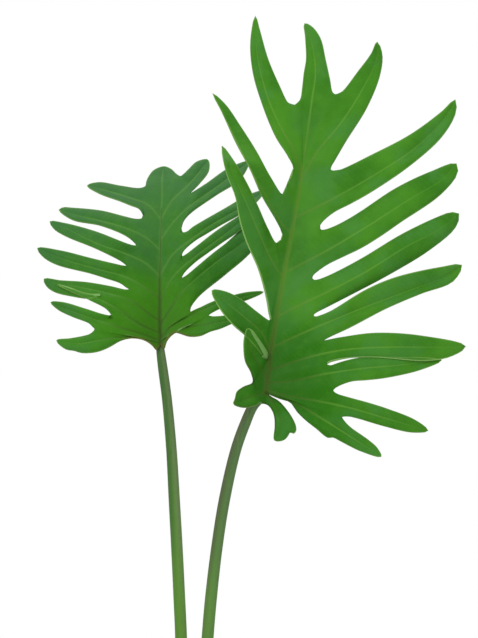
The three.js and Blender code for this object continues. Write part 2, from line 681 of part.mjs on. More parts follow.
// The plant in its pot.
const clearance = (rows, sides, step) => solidOf(taperedTube(rows, sides, step, GAP));
const crownRoom = makeCrown(GAP);
const stalkFor = (rows, blade) => largestPiece(
  solidOf(taperedTube(rows, STALK_SIDES, STALK_STEP))
    .subtract(crownRoom)
    .subtract(solidOf(makeBlade(blade, BLADE_THICKNESS + 2 * GAP))));
const stalkRooms = [STALK_LOW, STALK_TALL].map((rows) => clearance(rows, STALK_SIDES, STALK_STEP));
const bud = largestPiece(
  stalkRooms.reduce(
    (body, room) => body.subtract(room),
    solidOf(taperedTube(BUD, BUD_SIDES, BUD_STEP)).subtract(crownRoom)));
const soil = makeSoil([makeRootstock(GAP), ...stalkRooms, clearance(BUD, BUD_SIDES, BUD_STEP)]);

const pieces = [
  ['pot', geometryOf(makePot()), CLAY],
  ['soil', geometryOf(soil), MIX],
  ['rootstock', geometryOf(makeRootstock(0)), STEM],
  ['stalk_low', geometryOf(stalkFor(STALK_LOW, LOW_BLADE)), STALK],
  ['stalk_tall', geometryOf(stalkFor(STALK_TALL, TALL_BLADE)), STALK],
  ['blade_low', makeBlade(LOW_BLADE, BLADE_THICKNESS), LEAF],
  ['blade_tall', makeBlade(TALL_BLADE, BLADE_THICKNESS), LEAF],
  ['bud_sheath', geometryOf(bud), SHEATH],
];

const plant = new THREE.Group();
for (const [name, geometry, material] of pieces) {
  geometry.computeVertexNormals();
  const mesh = new THREE.Mesh(geometry, material);
  mesh.name = name;
  plant.add(mesh);
}

export default plant;
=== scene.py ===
# %% [markdown]
# # A potted winterbourn philodendron
# Two deeply lobed leaves stand on long stalks above a plain clay pot. The measured model holds
# the plain solids. This lesson writes out their main sizes and places again and lays the
# visible surfaces over them: grown blades with veins and rolled margins, swept stalks, a
# rooted stem, potting mix and a turned pot.
# Lengths in the tables are millimetres, and Blender's own unit is the metre.

# %% Load the measured model
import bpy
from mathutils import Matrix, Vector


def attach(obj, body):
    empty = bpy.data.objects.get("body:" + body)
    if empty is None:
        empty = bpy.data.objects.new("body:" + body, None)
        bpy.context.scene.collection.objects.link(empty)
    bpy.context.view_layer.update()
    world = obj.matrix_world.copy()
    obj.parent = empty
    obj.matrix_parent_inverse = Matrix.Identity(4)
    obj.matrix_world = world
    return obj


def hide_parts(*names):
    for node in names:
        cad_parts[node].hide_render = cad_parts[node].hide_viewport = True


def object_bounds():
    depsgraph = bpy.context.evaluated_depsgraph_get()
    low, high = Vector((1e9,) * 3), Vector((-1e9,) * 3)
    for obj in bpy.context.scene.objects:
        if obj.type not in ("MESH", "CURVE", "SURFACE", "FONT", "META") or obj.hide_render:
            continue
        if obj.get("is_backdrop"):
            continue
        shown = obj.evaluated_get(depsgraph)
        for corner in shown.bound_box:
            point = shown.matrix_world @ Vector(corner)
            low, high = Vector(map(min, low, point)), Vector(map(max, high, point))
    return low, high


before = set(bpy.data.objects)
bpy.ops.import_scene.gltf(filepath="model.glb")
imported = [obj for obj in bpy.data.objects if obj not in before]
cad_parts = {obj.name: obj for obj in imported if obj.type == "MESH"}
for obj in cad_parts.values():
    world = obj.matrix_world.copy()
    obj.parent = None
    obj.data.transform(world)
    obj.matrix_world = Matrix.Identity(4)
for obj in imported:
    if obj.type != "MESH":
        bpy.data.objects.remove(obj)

cad_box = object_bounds()
print("measured box, in metres:", [[round(value, 4) for value in corner] for corner in cad_box])

# %% [markdown]
# ## Helpers for meshes
# A leaf edge, a vein, a stalk and a root are all smooth lines through a few points, so one
# spline helper serves all of them. It is the centripetal kind, which passes through each
# point without loops or overshoot where the points stand unevenly. A plain polyline would
# show corners, and a free-hand curve would miss some of the points.

# %% Smooth lines, steps along them and new meshes
import math

import bpy
import numpy as np
from mathutils import Vector, noise

MM = 0.001


def smooth_line(points, per_span=24):
    """A fine line through all the points, a centripetal Catmull-Rom spline."""
    points = np.array(points, float)
    first = 2 * points[0] - points[1]
    last = 2 * points[-1] - points[-2]
    padded = np.vstack([first, points, last])
    line = []
    for p0, p1, p2, p3 in zip(padded, padded[1:], padded[2:], padded[3:]):
        t1 = np.linalg.norm(p1 - p0) ** 0.5
        t2 = t1 + np.linalg.norm(p2 - p1) ** 0.5
        t3 = t2 + np.linalg.norm(p3 - p2) ** 0.5
        t = np.linspace(t1, t2, per_span, endpoint=False)[:, None]
        a1 = (t1 - t) / t1 * p0 + t / t1 * p1
        a2 = (t2 - t) / (t2 - t1) * p1 + (t - t1) / (t2 - t1) * p2
        a3 = (t3 - t) / (t3 - t2) * p2 + (t - t2) / (t3 - t2) * p3
        b1 = (t2 - t) / t2 * a1 + t / t2 * a2
        b2 = (t3 - t) / (t3 - t1) * a2 + (t - t1) / (t3 - t1) * a3
        line.append((t2 - t) / (t2 - t1) * b1 + (t - t1) / (t2 - t1) * b2)
    line.append(points[-1:])
    return np.vstack(line)


def lengths_along(line):
    """Length from the start of the line to each of its points."""
    steps = np.linalg.norm(np.diff(line, axis=0), axis=1)
    return np.concatenate([[0], np.cumsum(steps)])


def steps_along(line, rows, ease=1.0):
    """rows + 1 points along the line, closer together at its start where ease is over 1."""
    lengths = lengths_along(line)
    wanted = lengths[-1] * np.linspace(0, 1, rows + 1) ** ease
    return np.stack([np.interp(wanted, lengths, line[:, k]) for k in range(line.shape[1])], axis=1)


def unit(vectors, least=1e-12):
    """The vectors at length 1. least keeps one without any length from dividing by zero."""
    return vectors / np.maximum(np.linalg.norm(vectors, axis=-1, keepdims=True), least)


def eased(value, low, high):
    """0 up to low, 1 from high on, and a smooth rise between."""
    share = np.clip((value - low) / (high - low), 0, 1)
    return share * share * (3 - 2 * share)


def new_piece(name, points, faces):
    """A smooth-shaded object whose points are given in millimetres."""
    mesh = bpy.data.meshes.new(name)
    mesh.from_pydata((np.asarray(points, float) * MM).tolist(), [], faces)
    mesh.validate()
    mesh.shade_smooth()
    piece = bpy.data.objects.new(name, mesh)
    bpy.context.collection.objects.link(piece)
    return piece


def store(piece, name, values):
    """Keeps one number for each point of the piece, for a material or a tree to read."""
    attribute = piece.data.attributes.new(name, "FLOAT", "POINT")
    attribute.data.foreach_set("value", np.asarray(values, np.float32))


def finish_piece(piece, material, slot, *nodes):
    """Gives a piece its material and its body, and hides the measured nodes that it stands for."""
    piece.data.materials.clear()
    piece.data.materials.append(material)
    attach(piece, "root")
    if nodes:
        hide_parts(*nodes)
    triangles = sum(len(face.vertices) - 2 for face in piece.data.polygons)
    print(f"{piece.name}: {triangles} triangles")


# %% [markdown]
# ## Helpers for materials
# Each finish is a small network of shader nodes. Colours are mixed from noise and from numbers
# stored on the mesh, such as the distance to a vein, so that a pattern follows the growth of
# the leaf and stays in place from every side. The same could be painted in an image, but a
# network has no pixels and needs no unwrapping.

# %% Small tools for shader networks
def linear(red, green, blue):
    """A colour as it is seen on a screen, from 0 to 255, as light amounts for a shader."""
    shares = [value / 255 for value in (red, green, blue)]
    lights = [share / 12.92 if share < 0.04045 else ((share + 0.055) / 1.055) ** 2.4
              for share in shares]
    return (*lights, 1)


class Finish:
    """A material with one Principled shader, and short ways to wire nodes into it."""

    def __init__(self, name, roughness, specular=0.5):
        self.material = bpy.data.materials.new(name)
        self.material.use_nodes = True
        self.tree = self.material.node_tree
        self.shader = self.tree.nodes["Principled BSDF"]
        self.shader.inputs["Roughness"].default_value = roughness
        self.shader.inputs["Specular IOR Level"].default_value = specular
        self.place = self.tree.nodes.new("ShaderNodeTexCoord").outputs["Object"]

    def put(self, socket, value):
        """Links a node's output to the socket, or sets the socket to a plain value."""
        if isinstance(value, bpy.types.NodeSocket):
            self.tree.links.new(value, socket)
        else:
            socket.default_value = value

    def stored(self, name):
        """The number that store() kept under this name."""
        node = self.tree.nodes.new("ShaderNodeAttribute")
        node.attribute_name = name
        return node.outputs["Fac"]

    def math(self, operation, a, b=0.0):
        node = self.tree.nodes.new("ShaderNodeMath")
        node.operation = operation
        self.put(node.inputs[0], a)
        self.put(node.inputs[1], b)
        return node.outputs[0]

    def ramp(self, value, low, high, to_low=0.0, to_high=1.0):
        """Maps low..high to to_low..to_high, easing at both ends."""
        node = self.tree.nodes.new("ShaderNodeMapRange")
        node.interpolation_type = "SMOOTHSTEP"
        for index, part in enumerate((value, low, high, to_low, to_high)):
            self.put(node.inputs[index], part)
        return node.outputs[0]

    def mix(self, factor, a, b):
        """Colour a at factor 0, colour b at factor 1."""
        node = self.tree.nodes.new("ShaderNodeMix")
        node.data_type = "RGBA"
        self.put(node.inputs[0], factor)
        self.put(node.inputs[6], a)
        self.put(node.inputs[7], b)
        return node.outputs[2]

    def noise(self, scale, detail=3.0, stretch=(1, 1, 1)):
        """Noise from 0 to 1. scale is in waves per metre, and stretch squeezes it along X, Y, Z."""
        mapping = self.tree.nodes.new("ShaderNodeMapping")
        mapping.inputs["Scale"].default_value = stretch
        self.put(mapping.inputs["Vector"], self.place)
        node = self.tree.nodes.new("ShaderNodeTexNoise")
        self.put(node.inputs["Vector"], mapping.outputs[0])
        node.inputs["Scale"].default_value = scale
        node.inputs["Detail"].default_value = detail
        return node.outputs["Fac"]

    def set(self, name, value):
        """Gives one of the shader's own inputs its value."""
        self.put(self.shader.inputs[name], value)

    def bump(self, height, distance, strength=1.0):
        """Small relief by shading alone. distance is its height in metres."""
        node = self.tree.nodes.new("ShaderNodeBump")
        node.inputs["Distance"].default_value = distance
        node.inputs["Strength"].default_value = strength
        self.put(node.inputs["Height"], height)
        self.put(self.shader.inputs["Normal"], node.outputs[0])


# %% [markdown]
# ## Camera, light and floor
# The leaves are seen straight from the front, from far away, so their shapes keep their true
# proportions. A long lens at 12 metres does that, where a near camera would make the front
# leaf look larger and would see up the stalks. The light is that of a studio with soft white
# walls: three large area lights and an even surround that is pure white behind the plant. One
# small lamp would be simpler, but it would throw hard shadows that soft walls don't.

# %% Camera
CAMERA_DISTANCE = 12.0           # metres in front of the stalks
VIEW_CENTRE = (0.0252, 0.3794)   # X and Z that the camera looks at, in metres
VIEW_HALF_HEIGHT = 0.1914        # metres from the middle to the top of the picture
SENSOR = 36                      # millimetres
VIEW_LIMIT = 60                  # metres

scene = bpy.context.scene
scene.view_settings.view_transform = "Standard"
camera_data = bpy.data.cameras.new("camera")
camera_data.sensor_width = SENSOR
camera_data.lens = SENSOR / 2 * CAMERA_DISTANCE / VIEW_HALF_HEIGHT
camera_data.clip_end = VIEW_LIMIT
camera = bpy.data.objects.new("camera", camera_data)
camera.location = (VIEW_CENTRE[0], -CAMERA_DISTANCE, VIEW_CENTRE[1])
camera.rotation_euler = (math.pi / 2, 0, 0)
scene.collection.objects.link(camera)
scene.camera = camera
print(f"lens {camera_data.lens:.0f} mm at {CAMERA_DISTANCE} m")

# %% Soft lights
LIGHT_AIM = Vector((0.03, 0, 0.33))
LIGHTS = [
    # name, place, width, height, power in watts
    ("window", (-1.5, -2.2, 2.0), 1.8, 1.8, 42),
    ("wall", (2.4, -1.6, 0.9), 1.6, 1.6, 16),
    ("ceiling", (0.2, 0.6, 2.6), 2.2, 2.2, 22),
]
for name, place, width, height, power in LIGHTS:
    light = bpy.data.lights.new(name, "AREA")
    light.shape = "RECTANGLE"
    light.size = width
    light.size_y = height
    light.energy = power
    lamp = bpy.data.objects.new(name, light)
    lamp.location = place
    lamp.rotation_euler = (Vector(place) - LIGHT_AIM).to_track_quat("Z", "Y").to_euler()
    scene.collection.objects.link(lamp)
    print(f"{name}: {power} W over {width * height:.1f} square metres")

# %% White surround
AMBIENT = 0.5
WHITE = (1, 1, 1, 1)

world = bpy.data.worlds.new("surround")
world.use_nodes = True
scene.world = world
tree = world.node_tree
around = tree.nodes["Background"]
around.inputs["Color"].default_value = WHITE
around.inputs["Strength"].default_value = AMBIENT
behind = tree.nodes.new("ShaderNodeBackground")
behind.inputs["Color"].default_value = WHITE
ray = tree.nodes.new("ShaderNodeLightPath")
either = tree.nodes.new("ShaderNodeMixShader")
tree.links.new(ray.outputs["Is Camera Ray"], either.inputs[0])
tree.links.new(around.outputs[0], either.inputs[1])
tree.links.new(behind.outputs[0], either.inputs[2])
tree.links.new(either.outputs[0], tree.nodes["World Output"].inputs[0])
print(f"surround: strength {AMBIENT} on the plant, 1 where the camera sees it")

# %% Floor
FLOOR_RADIUS = 3300
FLOOR_SIDES = 96
FLOOR_DROP = 0.5

# The floor lies a little below the pot's foot, so the two faces never coincide.
turns = np.linspace(0, 2 * math.pi, FLOOR_SIDES, endpoint=False)
floor_points = [(FLOOR_RADIUS * math.cos(t), FLOOR_RADIUS * math.sin(t), -FLOOR_DROP) for t in turns]
floor = new_piece("floor", floor_points, [list(range(FLOOR_SIDES))])
floor_paint = Finish("pale_floor", 0.75, 0.2)
floor_paint.set("Base Color", (0.82, 0.82, 0.81, 1))
floor.data.materials.append(floor_paint.material)
floor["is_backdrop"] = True
print(f"floor: {2 * FLOOR_RADIUS * MM:.1f} m across")

# %% [markdown]
# ## The clay pot
# A clay pot is thrown or pressed as a body of revolution: one wall profile turned round the
# pot's middle. Spinning a profile gives exactly that, with even rings for the rounded rim. A
# stock cylinder would need its taper, rim and hollow worked in one by one. The drain holes are
# cut through the foot afterwards, as the potter does.

# %% Pot profile
POT_HEIGHT = 140
POT_TOP_RADIUS = 78
POT_FOOT_RADIUS = 53
POT_WALL = 5
POT_BASE = 7
RIM_HEIGHT = 24
RIM_PROUD = 3.5       # how far the rim stands out from the wall's line
RIM_TAPER = 0.6       # how much wider the rim is at its top than below
RIM_STEP = 1.5        # height of the slope under the rim
POT_ROUND = 2
POT_SIDES = 192
ROUND_STEPS = 6
ROUND_SHARE = 0.45    # of the shorter side that a rounding may take


def wall_radius(height):
    """Outer radius of the wall below the rim, which the rim stands proud of."""
    taper = POT_TOP_RADIUS - RIM_PROUD - POT_FOOT_RADIUS
    return POT_FOOT_RADIUS + taper * height / POT_HEIGHT


def rounded(profile, radius, steps=ROUND_STEPS):
    """The profile with each inner corner rounded by a short curve."""
    profile = [Vector(point) for point in profile]
    line = [profile[0]]
    for before, corner, after in zip(profile, profile[1:], profile[2:]):
        shorter = min((corner - before).length, (after - corner).length)
        reach = min(radius, ROUND_SHARE * shorter)
        start = corner + (before - corner).normalized() * reach
        end = corner + (after - corner).normalized() * reach
        for step in range(steps + 1):
            t = step / steps
            line.append(start.lerp(corner, t).lerp(corner.lerp(end, t), t))
    return line + [profile[-1]]


def turned(name, profile, sides):
    """A closed body of revolution. The profile runs from the axis to the axis, outside first."""
    points = [(0, 0, profile[0][1]), (0, 0, profile[-1][1])]
    rings = profile[1:-1]
    for radius, height in rings:
        for side in range(sides):
            turn = 2 * math.pi * side / sides
            points.append((radius * math.cos(turn), radius * math.sin(turn), height))
    faces = []
    last = 2 + (len(rings) - 1) * sides
    for side in range(sides):
        after = (side + 1) % sides
        faces.append((0, 2 + after, 2 + side))
        faces.append((1, last + side, last + after))
        for ring in range(len(rings) - 1):
            low = 2 + ring * sides
            faces.append((low + side, low + after, low + sides + after, low + sides + side))
    return new_piece(name, points, faces)


rim_low = POT_HEIGHT - RIM_HEIGHT
pot_profile = rounded([
    (0, 0),
    (wall_radius(0), 0),
    (wall_radius(rim_low), rim_low),
    (POT_TOP_RADIUS - RIM_TAPER, rim_low + RIM_STEP),
    (POT_TOP_RADIUS, POT_HEIGHT),
    (wall_radius(POT_HEIGHT) - POT_WALL, POT_HEIGHT),
    (wall_radius(POT_BASE) - POT_WALL, POT_BASE),
    (0, POT_BASE),
], POT_ROUND)
pot = turned("pot", pot_profile, POT_SIDES)
print(f"pot: {2 * POT_TOP_RADIUS} mm wide, {POT_HEIGHT} mm high, profile of {len(pot_profile)} points")

# %% Drain holes
DRAIN_HOLES = 4
DRAIN_RADIUS = 6
DRAIN_RING = 27
DRILL_SIDES = 32

drills = []
for hole in range(DRAIN_HOLES):
    turn = 2 * math.pi * (hole + 0.5) / DRAIN_HOLES
    drill = turned("drill", [
        (0, -POT_BASE),
        (DRAIN_RADIUS, -POT_BASE),
        (DRAIN_RADIUS, 2 * POT_BASE),
        (0, 2 * POT_BASE),
    ], DRILL_SIDES)
    middle = Vector((DRAIN_RING * math.cos(turn), DRAIN_RING * math.sin(turn), 0)) * MM
    for point in drill.data.vertices:
        point.co += middle
    cut = pot.modifiers.new("drain hole", "BOOLEAN")
    cut.operation = "DIFFERENCE"
    cut.solver = "EXACT"
    cut.object = drill
    drills.append(drill)


def settle(piece):
    """Makes the result of a piece's modifiers its own mesh, and takes the modifiers off."""
    graph = bpy.context.evaluated_depsgraph_get()
    mesh = bpy.data.meshes.new_from_object(piece.evaluated_get(graph))
    mesh.name = piece.name
    piece.modifiers.clear()
    piece.data = mesh


settle(pot)
for drill in drills:
    bpy.data.objects.remove(drill)
print(f"drain holes: {DRAIN_HOLES}, {2 * DRAIN_RADIUS} mm wide")

# %% [markdown]
# ## Unglazed clay
# Fired clay is a warm orange brown with paler, chalky clouds where minerals from the water have
# dried on it. Fine rings from turning and small pores catch the light. Noises of different
# scale make the clouds, the pores and the speckle, and a noise squeezed flat makes the rings.
# One even colour would look like painted plastic.

# %% Clay finish
clay = Finish("unglazed_clay", 0.82, 0.25)
clouds = clay.noise(22, 5)
body_colour = clay.mix(clay.ramp(clouds, 0.35, 0.65), linear(176, 96, 62), linear(196, 118, 80))
speckle = clay.noise(900, 2)
body_colour = clay.mix(clay.ramp(speckle, 0.6, 0.75, 0, 0.5), body_colour, linear(140, 74, 48))
small_bloom = clay.ramp(clay.noise(38, 6), 0.5, 0.72)
large_bloom = clay.ramp(clay.noise(9, 2), 0.42, 0.6)
bloom = clay.math("MULTIPLY", small_bloom, large_bloom)
body_colour = clay.mix(clay.math("MULTIPLY", bloom, 0.6), body_colour, linear(222, 190, 164))
clay.set("Base Color", body_colour)
rings = clay.noise(14, 4, (1, 1, 40))
pores = clay.noise(1400, 3)
relief = clay.math("ADD", clay.math("MULTIPLY", rings, 0.7), clay.math("MULTIPLY", pores, 0.3))
clay.bump(relief, 0.0006, 0.6)
finish_piece(pot, clay.material, "clay", "pot")

# %% [markdown]
# ## Potting mix
# The mix is a loose bed of crumbs. Its top lies about 15 mm below the pot's rim at the stem,
# and a little lower at the wall. The body is one closed turned solid whose top is roughened by
# noise. Crumbs all the way down would be truer, but nobody would ever see them. What makes the
# body look like potting mix is what lies on it: crumbs, bark chips and pale perlite grains.

# %% Body of the potting mix
GAP = 0.3
SOIL_LEVEL = 125
SOIL_DOME = 3
SOIL_SIDES = 180
SOIL_RINGS = 60
SOIL_ROUGHNESS = 1.6      # millimetres up or down
SOIL_LUMPS = [
    # share of the roughness, size in millimetres, layer of the noise
    (0.65, 11, 0),
    (0.35, 3.2, 7),
]
DOME_SHARE = 0.9
WALL_CALM = 0.6           # how much of the roughness is lost at the wall
WALL_CALM_POWER = 8       # high, so it is lost only near the wall
TOP_MARK = 1

soil_low = POT_BASE + GAP
soil_edge = SOIL_LEVEL - SOIL_DOME


def fill_radius(height):
    """Radius of the mix, a small gap inside the pot's wall."""
    return wall_radius(height) - POT_WALL - GAP


def soil_height(x, y):
    """Height of the mix at a place: a low dome with crumbly noise, calm at the pot's wall."""
    share = min(1.0, math.hypot(x, y) / fill_radius(soil_edge))
    dome = soil_edge + SOIL_DOME * (1 - share ** 2) * DOME_SHARE
    rough = sum(part * noise.noise(Vector((x, y, layer)) / size) for part, size, layer in SOIL_LUMPS)
    return dome + SOIL_ROUGHNESS * rough * (1 - WALL_CALM * share ** WALL_CALM_POWER)


# The points of the top start a millimetre above the edge, which marks them for their height.
top_radius = fill_radius(soil_edge)
soil_profile = [(0, soil_low), (fill_radius(soil_low), soil_low), (top_radius, soil_edge)]
soil_profile += [(top_radius * (1 - ring / SOIL_RINGS), soil_edge + TOP_MARK)
                 for ring in range(1, SOIL_RINGS)]
soil_profile.append((0, soil_edge + TOP_MARK))
soil = turned("soil", soil_profile, SOIL_SIDES)
for point in soil.data.vertices:
    x, y, z = point.co / MM
    if z > soil_edge + TOP_MARK / 2:
        point.co.z = soil_height(x, y) * MM
print("top of the mix:", round(max(point.co.z for point in soil.data.vertices) * 1000, 1), "mm")

# %% Potting mix finish
mix = Finish("potting_mix", 0.95, 0.15)
crumbs = mix.noise(420, 5)
earth = mix.mix(mix.ramp(crumbs, 0.35, 0.7), linear(38, 27, 19), linear(88, 64, 44))
fibres = mix.noise(160, 4, (1, 4, 1))
earth = mix.mix(mix.ramp(fibres, 0.62, 0.74, 0, 0.6), earth, linear(122, 92, 62))
mix.set("Base Color", earth)
mix.bump(crumbs, 0.0022, 0.9)
finish_piece(soil, mix.material, "potting_mix", "soil")

# %% [markdown]
# ## A tool that scatters
# Thousands of small bits lie on the mix. Placing them by hand would be slow and would look
# arranged, so a Geometry Nodes tree spreads points on the top faces, puts a lumpy bit on each
# with a random turn and size, and makes them real mesh. Its sizes are named inputs, and the
# seed is fixed, so the same bits come back each time.

# %% Tree that scatters bits
class Growth:
    """A Geometry Nodes tree with named inputs, and a short way to add nodes to it."""

    def __init__(self, name):
        self.tree = bpy.data.node_groups.new(name, "GeometryNodeTree")
        self.tree.interface.new_socket("Geometry", in_out="INPUT", socket_type="NodeSocketGeometry")
        self.tree.interface.new_socket("Geometry", in_out="OUTPUT", socket_type="NodeSocketGeometry")
        self.start = self.tree.nodes.new("NodeGroupInput")
        self.end = self.tree.nodes.new("NodeGroupOutput")

    def input(self, name, kind, default):
        """A named input of the whole tree."""
        socket = self.tree.interface.new_socket(name, in_out="INPUT", socket_type="NodeSocket" + kind)
        socket.default_value = default
        return self.start.outputs[name]

    def add(self, kind, settings=(), **inputs):
        """A node. Inputs go by name, with _ for a blank, or by number, such as _0 for the first."""
        node = self.tree.nodes.new(kind)
        for key, value in dict(settings).items():
            setattr(node, key, value)
        for key, value in inputs.items():
            socket = node.inputs[int(key[1:])] if key[0] == "_" else node.inputs[key.replace("_", " ")]
            if isinstance(value, bpy.types.NodeSocket):
                self.tree.links.new(value, socket)
            elif value is not None:
                socket.default_value = value
        return node

    def close(self, geometry, material):
        """Ends the tree in real mesh with its material."""
        real = self.add("GeometryNodeRealizeInstances", Geometry=geometry)
        done = self.add("GeometryNodeSetMaterial", Geometry=real.outputs[0], Material=material)
        self.tree.links.new(done.outputs[0], self.end.inputs[0])

    def run(self, piece, name, **values):
        """The mesh that the tree makes from a piece, as a new object."""
        modifier = piece.modifiers.new(self.tree.name, "NODES")
        modifier.node_group = self.tree
        identifiers = {item.name: item.identifier for item in self.tree.interface.items_tree
                       if item.in_out == "INPUT"}
        for key, value in values.items():
            modifier[identifiers[key.replace("_", " ")]] = value
        graph = bpy.context.evaluated_depsgraph_get()
        mesh = bpy.data.meshes.new_from_object(piece.evaluated_get(graph))
        mesh.name = name
        piece.modifiers.remove(modifier)
        result = bpy.data.objects.new(name, mesh)
        bpy.context.collection.objects.link(result)
        return result


LEVEL_ENOUGH = 0.4    # how far up a face must look to hold bits, 1 being straight up
BITS_ABOVE = 0.119    # metres, just under the edge of the mix
BIT_WIDTH = 0.7       # of a bit's length
LEAST_SIZE = 0.5      # of the full size
TILT = 0.5            # radians either way
FULL_TURN = 6.283     # radians
LUMP_SCALE = 420.0    # lumps per metre


def scatter_tree(name, material, sides, rings):
    """A tree that lays lumpy bits on the top of a piece. Its sizes are metres."""
    growth = Growth(name)
    density = growth.input("Bits per square metre", "Float", 1000.0)
    size = growth.input("Size", "Float", 0.004)
    flatness = growth.input("Flatness", "Float", 0.5)
    sink = growth.input("Sink", "Float", 0.0005)
    seed = growth.input("Seed", "Int", 1)
    normal = growth.add("GeometryNodeInputNormal")
    upward = growth.add("ShaderNodeSeparateXYZ", Vector=normal.outputs[0])
    place = growth.add("GeometryNodeInputPosition")
    height = growth.add("ShaderNodeSeparateXYZ", Vector=place.outputs[0])
    flat = growth.add("FunctionNodeCompare", {"operation": "GREATER_THAN"}, _0=upward.outputs[2],
                      _1=LEVEL_ENOUGH)
    top = growth.add("FunctionNodeCompare", {"operation": "GREATER_THAN"}, _0=height.outputs[2],
                     _1=BITS_ABOVE)
    both = growth.add("FunctionNodeBooleanMath", {"operation": "AND"}, _0=flat.outputs[0],
                      _1=top.outputs[0])
    points = growth.add("GeometryNodeDistributePointsOnFaces", Mesh=growth.start.outputs[0],
                        Selection=both.outputs[0], Density=density, Seed=seed)
    ball = growth.add("GeometryNodeMeshUVSphere", Segments=sides, Rings=rings, Radius=0.5)
    squash = growth.add("ShaderNodeCombineXYZ", _0=1.0, _1=BIT_WIDTH, _2=flatness)
    flattened = growth.add("GeometryNodeTransform", Geometry=ball.outputs[0], Scale=squash.outputs[0])
    turn = growth.add("FunctionNodeRandomValue", {"data_type": "FLOAT_VECTOR"},
                      _0=(-TILT, -TILT, 0.0), _1=(TILT, TILT, FULL_TURN), Seed=seed)
    least = growth.add("ShaderNodeMath", {"operation": "MULTIPLY"}, _0=size, _1=LEAST_SIZE)
    grown = growth.add("FunctionNodeRandomValue", {"data_type": "FLOAT"}, _2=least.outputs[0], _3=size,
                       Seed=seed)
    tone = growth.add("FunctionNodeRandomValue", {"data_type": "FLOAT"}, _2=0.0, _3=1.0, Seed=seed)
    toned = growth.add("GeometryNodeStoreNamedAttribute", {"data_type": "FLOAT", "domain": "POINT"},
                       Geometry=points.outputs[0], Name="tone", Value=tone.outputs[1])
    bits = growth.add("GeometryNodeInstanceOnPoints", Points=toned.outputs[0],
                      Instance=flattened.outputs[0], Scale=grown.outputs[1])
    growth.tree.links.new(turn.outputs[0], bits.inputs["Rotation"])
    real = growth.add("GeometryNodeRealizeInstances", Geometry=bits.outputs[0])
    lump = growth.add("ShaderNodeTexNoise", {"noise_dimensions": "3D"}, Scale=LUMP_SCALE, Detail=2.0)
    centred = growth.add("ShaderNodeVectorMath", {"operation": "SUBTRACT"}, _0=lump.outputs["Color"],
                         _1=(0.5, 0.5, 0.5))
    reach = growth.add("ShaderNodeVectorMath", {"operation": "SCALE"}, _0=centred.outputs[0], Scale=size)
    down = growth.add("ShaderNodeMath", {"operation": "MULTIPLY"}, _0=sink, _1=-1.0)
    lowered = growth.add("ShaderNodeCombineXYZ", _0=0.0, _1=0.0, _2=down.outputs[0])
    moved = growth.add("ShaderNodeVectorMath", {"operation": "ADD"}, _0=reach.outputs[0],
                       _1=lowered.outputs[0])
    lumpy = growth.add("GeometryNodeSetPosition", Geometry=real.outputs[0], Offset=moved.outputs[0])
    growth.close(lumpy.outputs[0], material)
    return growth


# %% [markdown]
# ## Bark, perlite and crumbs
# Bark chips are flat and brown with a fibrous grain. Perlite is puffed white rock, rounder and
# very light. The crumbs are small lumps of the mix itself. Each kind could have a tree of its
# own, but they differ only in size, flatness and finish, so all three come from the one tree.

# %% Bits on the mix
bark = Finish("bark", 0.85, 0.3)
grain = bark.noise(240, 4, (1, 6, 1))
bark_colour = bark.mix(bark.stored("tone"), linear(74, 46, 28), linear(128, 88, 56))
bark_colour = bark.mix(bark.ramp(grain, 0.4, 0.7, 0, 0.7), bark_colour, linear(52, 32, 20))
bark.set("Base Color", bark_colour)
bark.bump(grain, 0.0006, 0.8)

perlite = Finish("perlite", 0.9, 0.2)
pits = perlite.noise(900, 3)
grey = perlite.mix(perlite.ramp(pits, 0.35, 0.6), linear(176, 168, 154), linear(232, 228, 218))
perlite.set("Base Color", grey)
perlite.bump(pits, 0.0004, 0.8)

BITS = [
    # name, finish, bits per square metre, size, flatness, sink, sides and rings of a bit, seed
    ("crumbs", mix, 90000, 0.0026, 0.8, 0.0004, 6, 4, 3),
    ("bark_chips", bark, 21000, 0.0088, 0.34, 0.0004, 8, 5, 11),
    ("perlite_grains", perlite, 9000, 0.0036, 0.85, 0.0002, 8, 5, 5),
]
for name, finish, density, size, flatness, sink, sides, rings, seed in BITS:
    growth = scatter_tree("scatter " + name, finish.material, sides, rings)
    bits = growth.run(soil, name, Bits_per_square_metre=density, Size=size, Flatness=flatness,
                      Sink=sink, Seed=seed)
    bits.data.shade_smooth()
    finish_piece(bits, finish.material, "potting_mix")

# %% [markdown]
# ## A tool that sweeps
# Stalks and roots are round stems that taper along a bent path. The tree below turns a line of
# points into a curve, carries a circle along it, scales the circle by the thickness stored at
# each point and closes the ends. It also keeps how far along each point lies, for the finish to
# follow. A chain of cylinders could stand in for it, but every joint would show.

# %% Tree that sweeps a stem
def sweep_tree(name, material, sides):
    """A tree that sweeps a circle, or an oval, along a path made by stem_path."""
    growth = Growth(name)
    oval = growth.input("Oval", "Float", 1.0)
    line = growth.add("GeometryNodeMeshToCurve", Mesh=growth.start.outputs[0])
    factor = growth.add("GeometryNodeSplineParameter")
    marked = growth.add("GeometryNodeStoreNamedAttribute", {"data_type": "FLOAT", "domain": "POINT"},
                        Geometry=line.outputs[0], Name="along", Value=factor.outputs["Factor"])
    circle = growth.add("GeometryNodeCurvePrimitiveCircle", Resolution=sides, Radius=1.0)
    shape = growth.add("ShaderNodeCombineXYZ", _0=1.0, _1=oval, _2=1.0)
    profile = growth.add("GeometryNodeTransform", Geometry=circle.outputs[0], Scale=shape.outputs[0])
    thick = growth.add("GeometryNodeInputNamedAttribute", {"data_type": "FLOAT"}, Name="thickness")
    stem = growth.add("GeometryNodeCurveToMesh", Curve=marked.outputs[0],
                      Profile_Curve=profile.outputs[0], Scale=thick.outputs[0], Fill_Caps=True)
    growth.close(stem.outputs[0], material)
    return growth


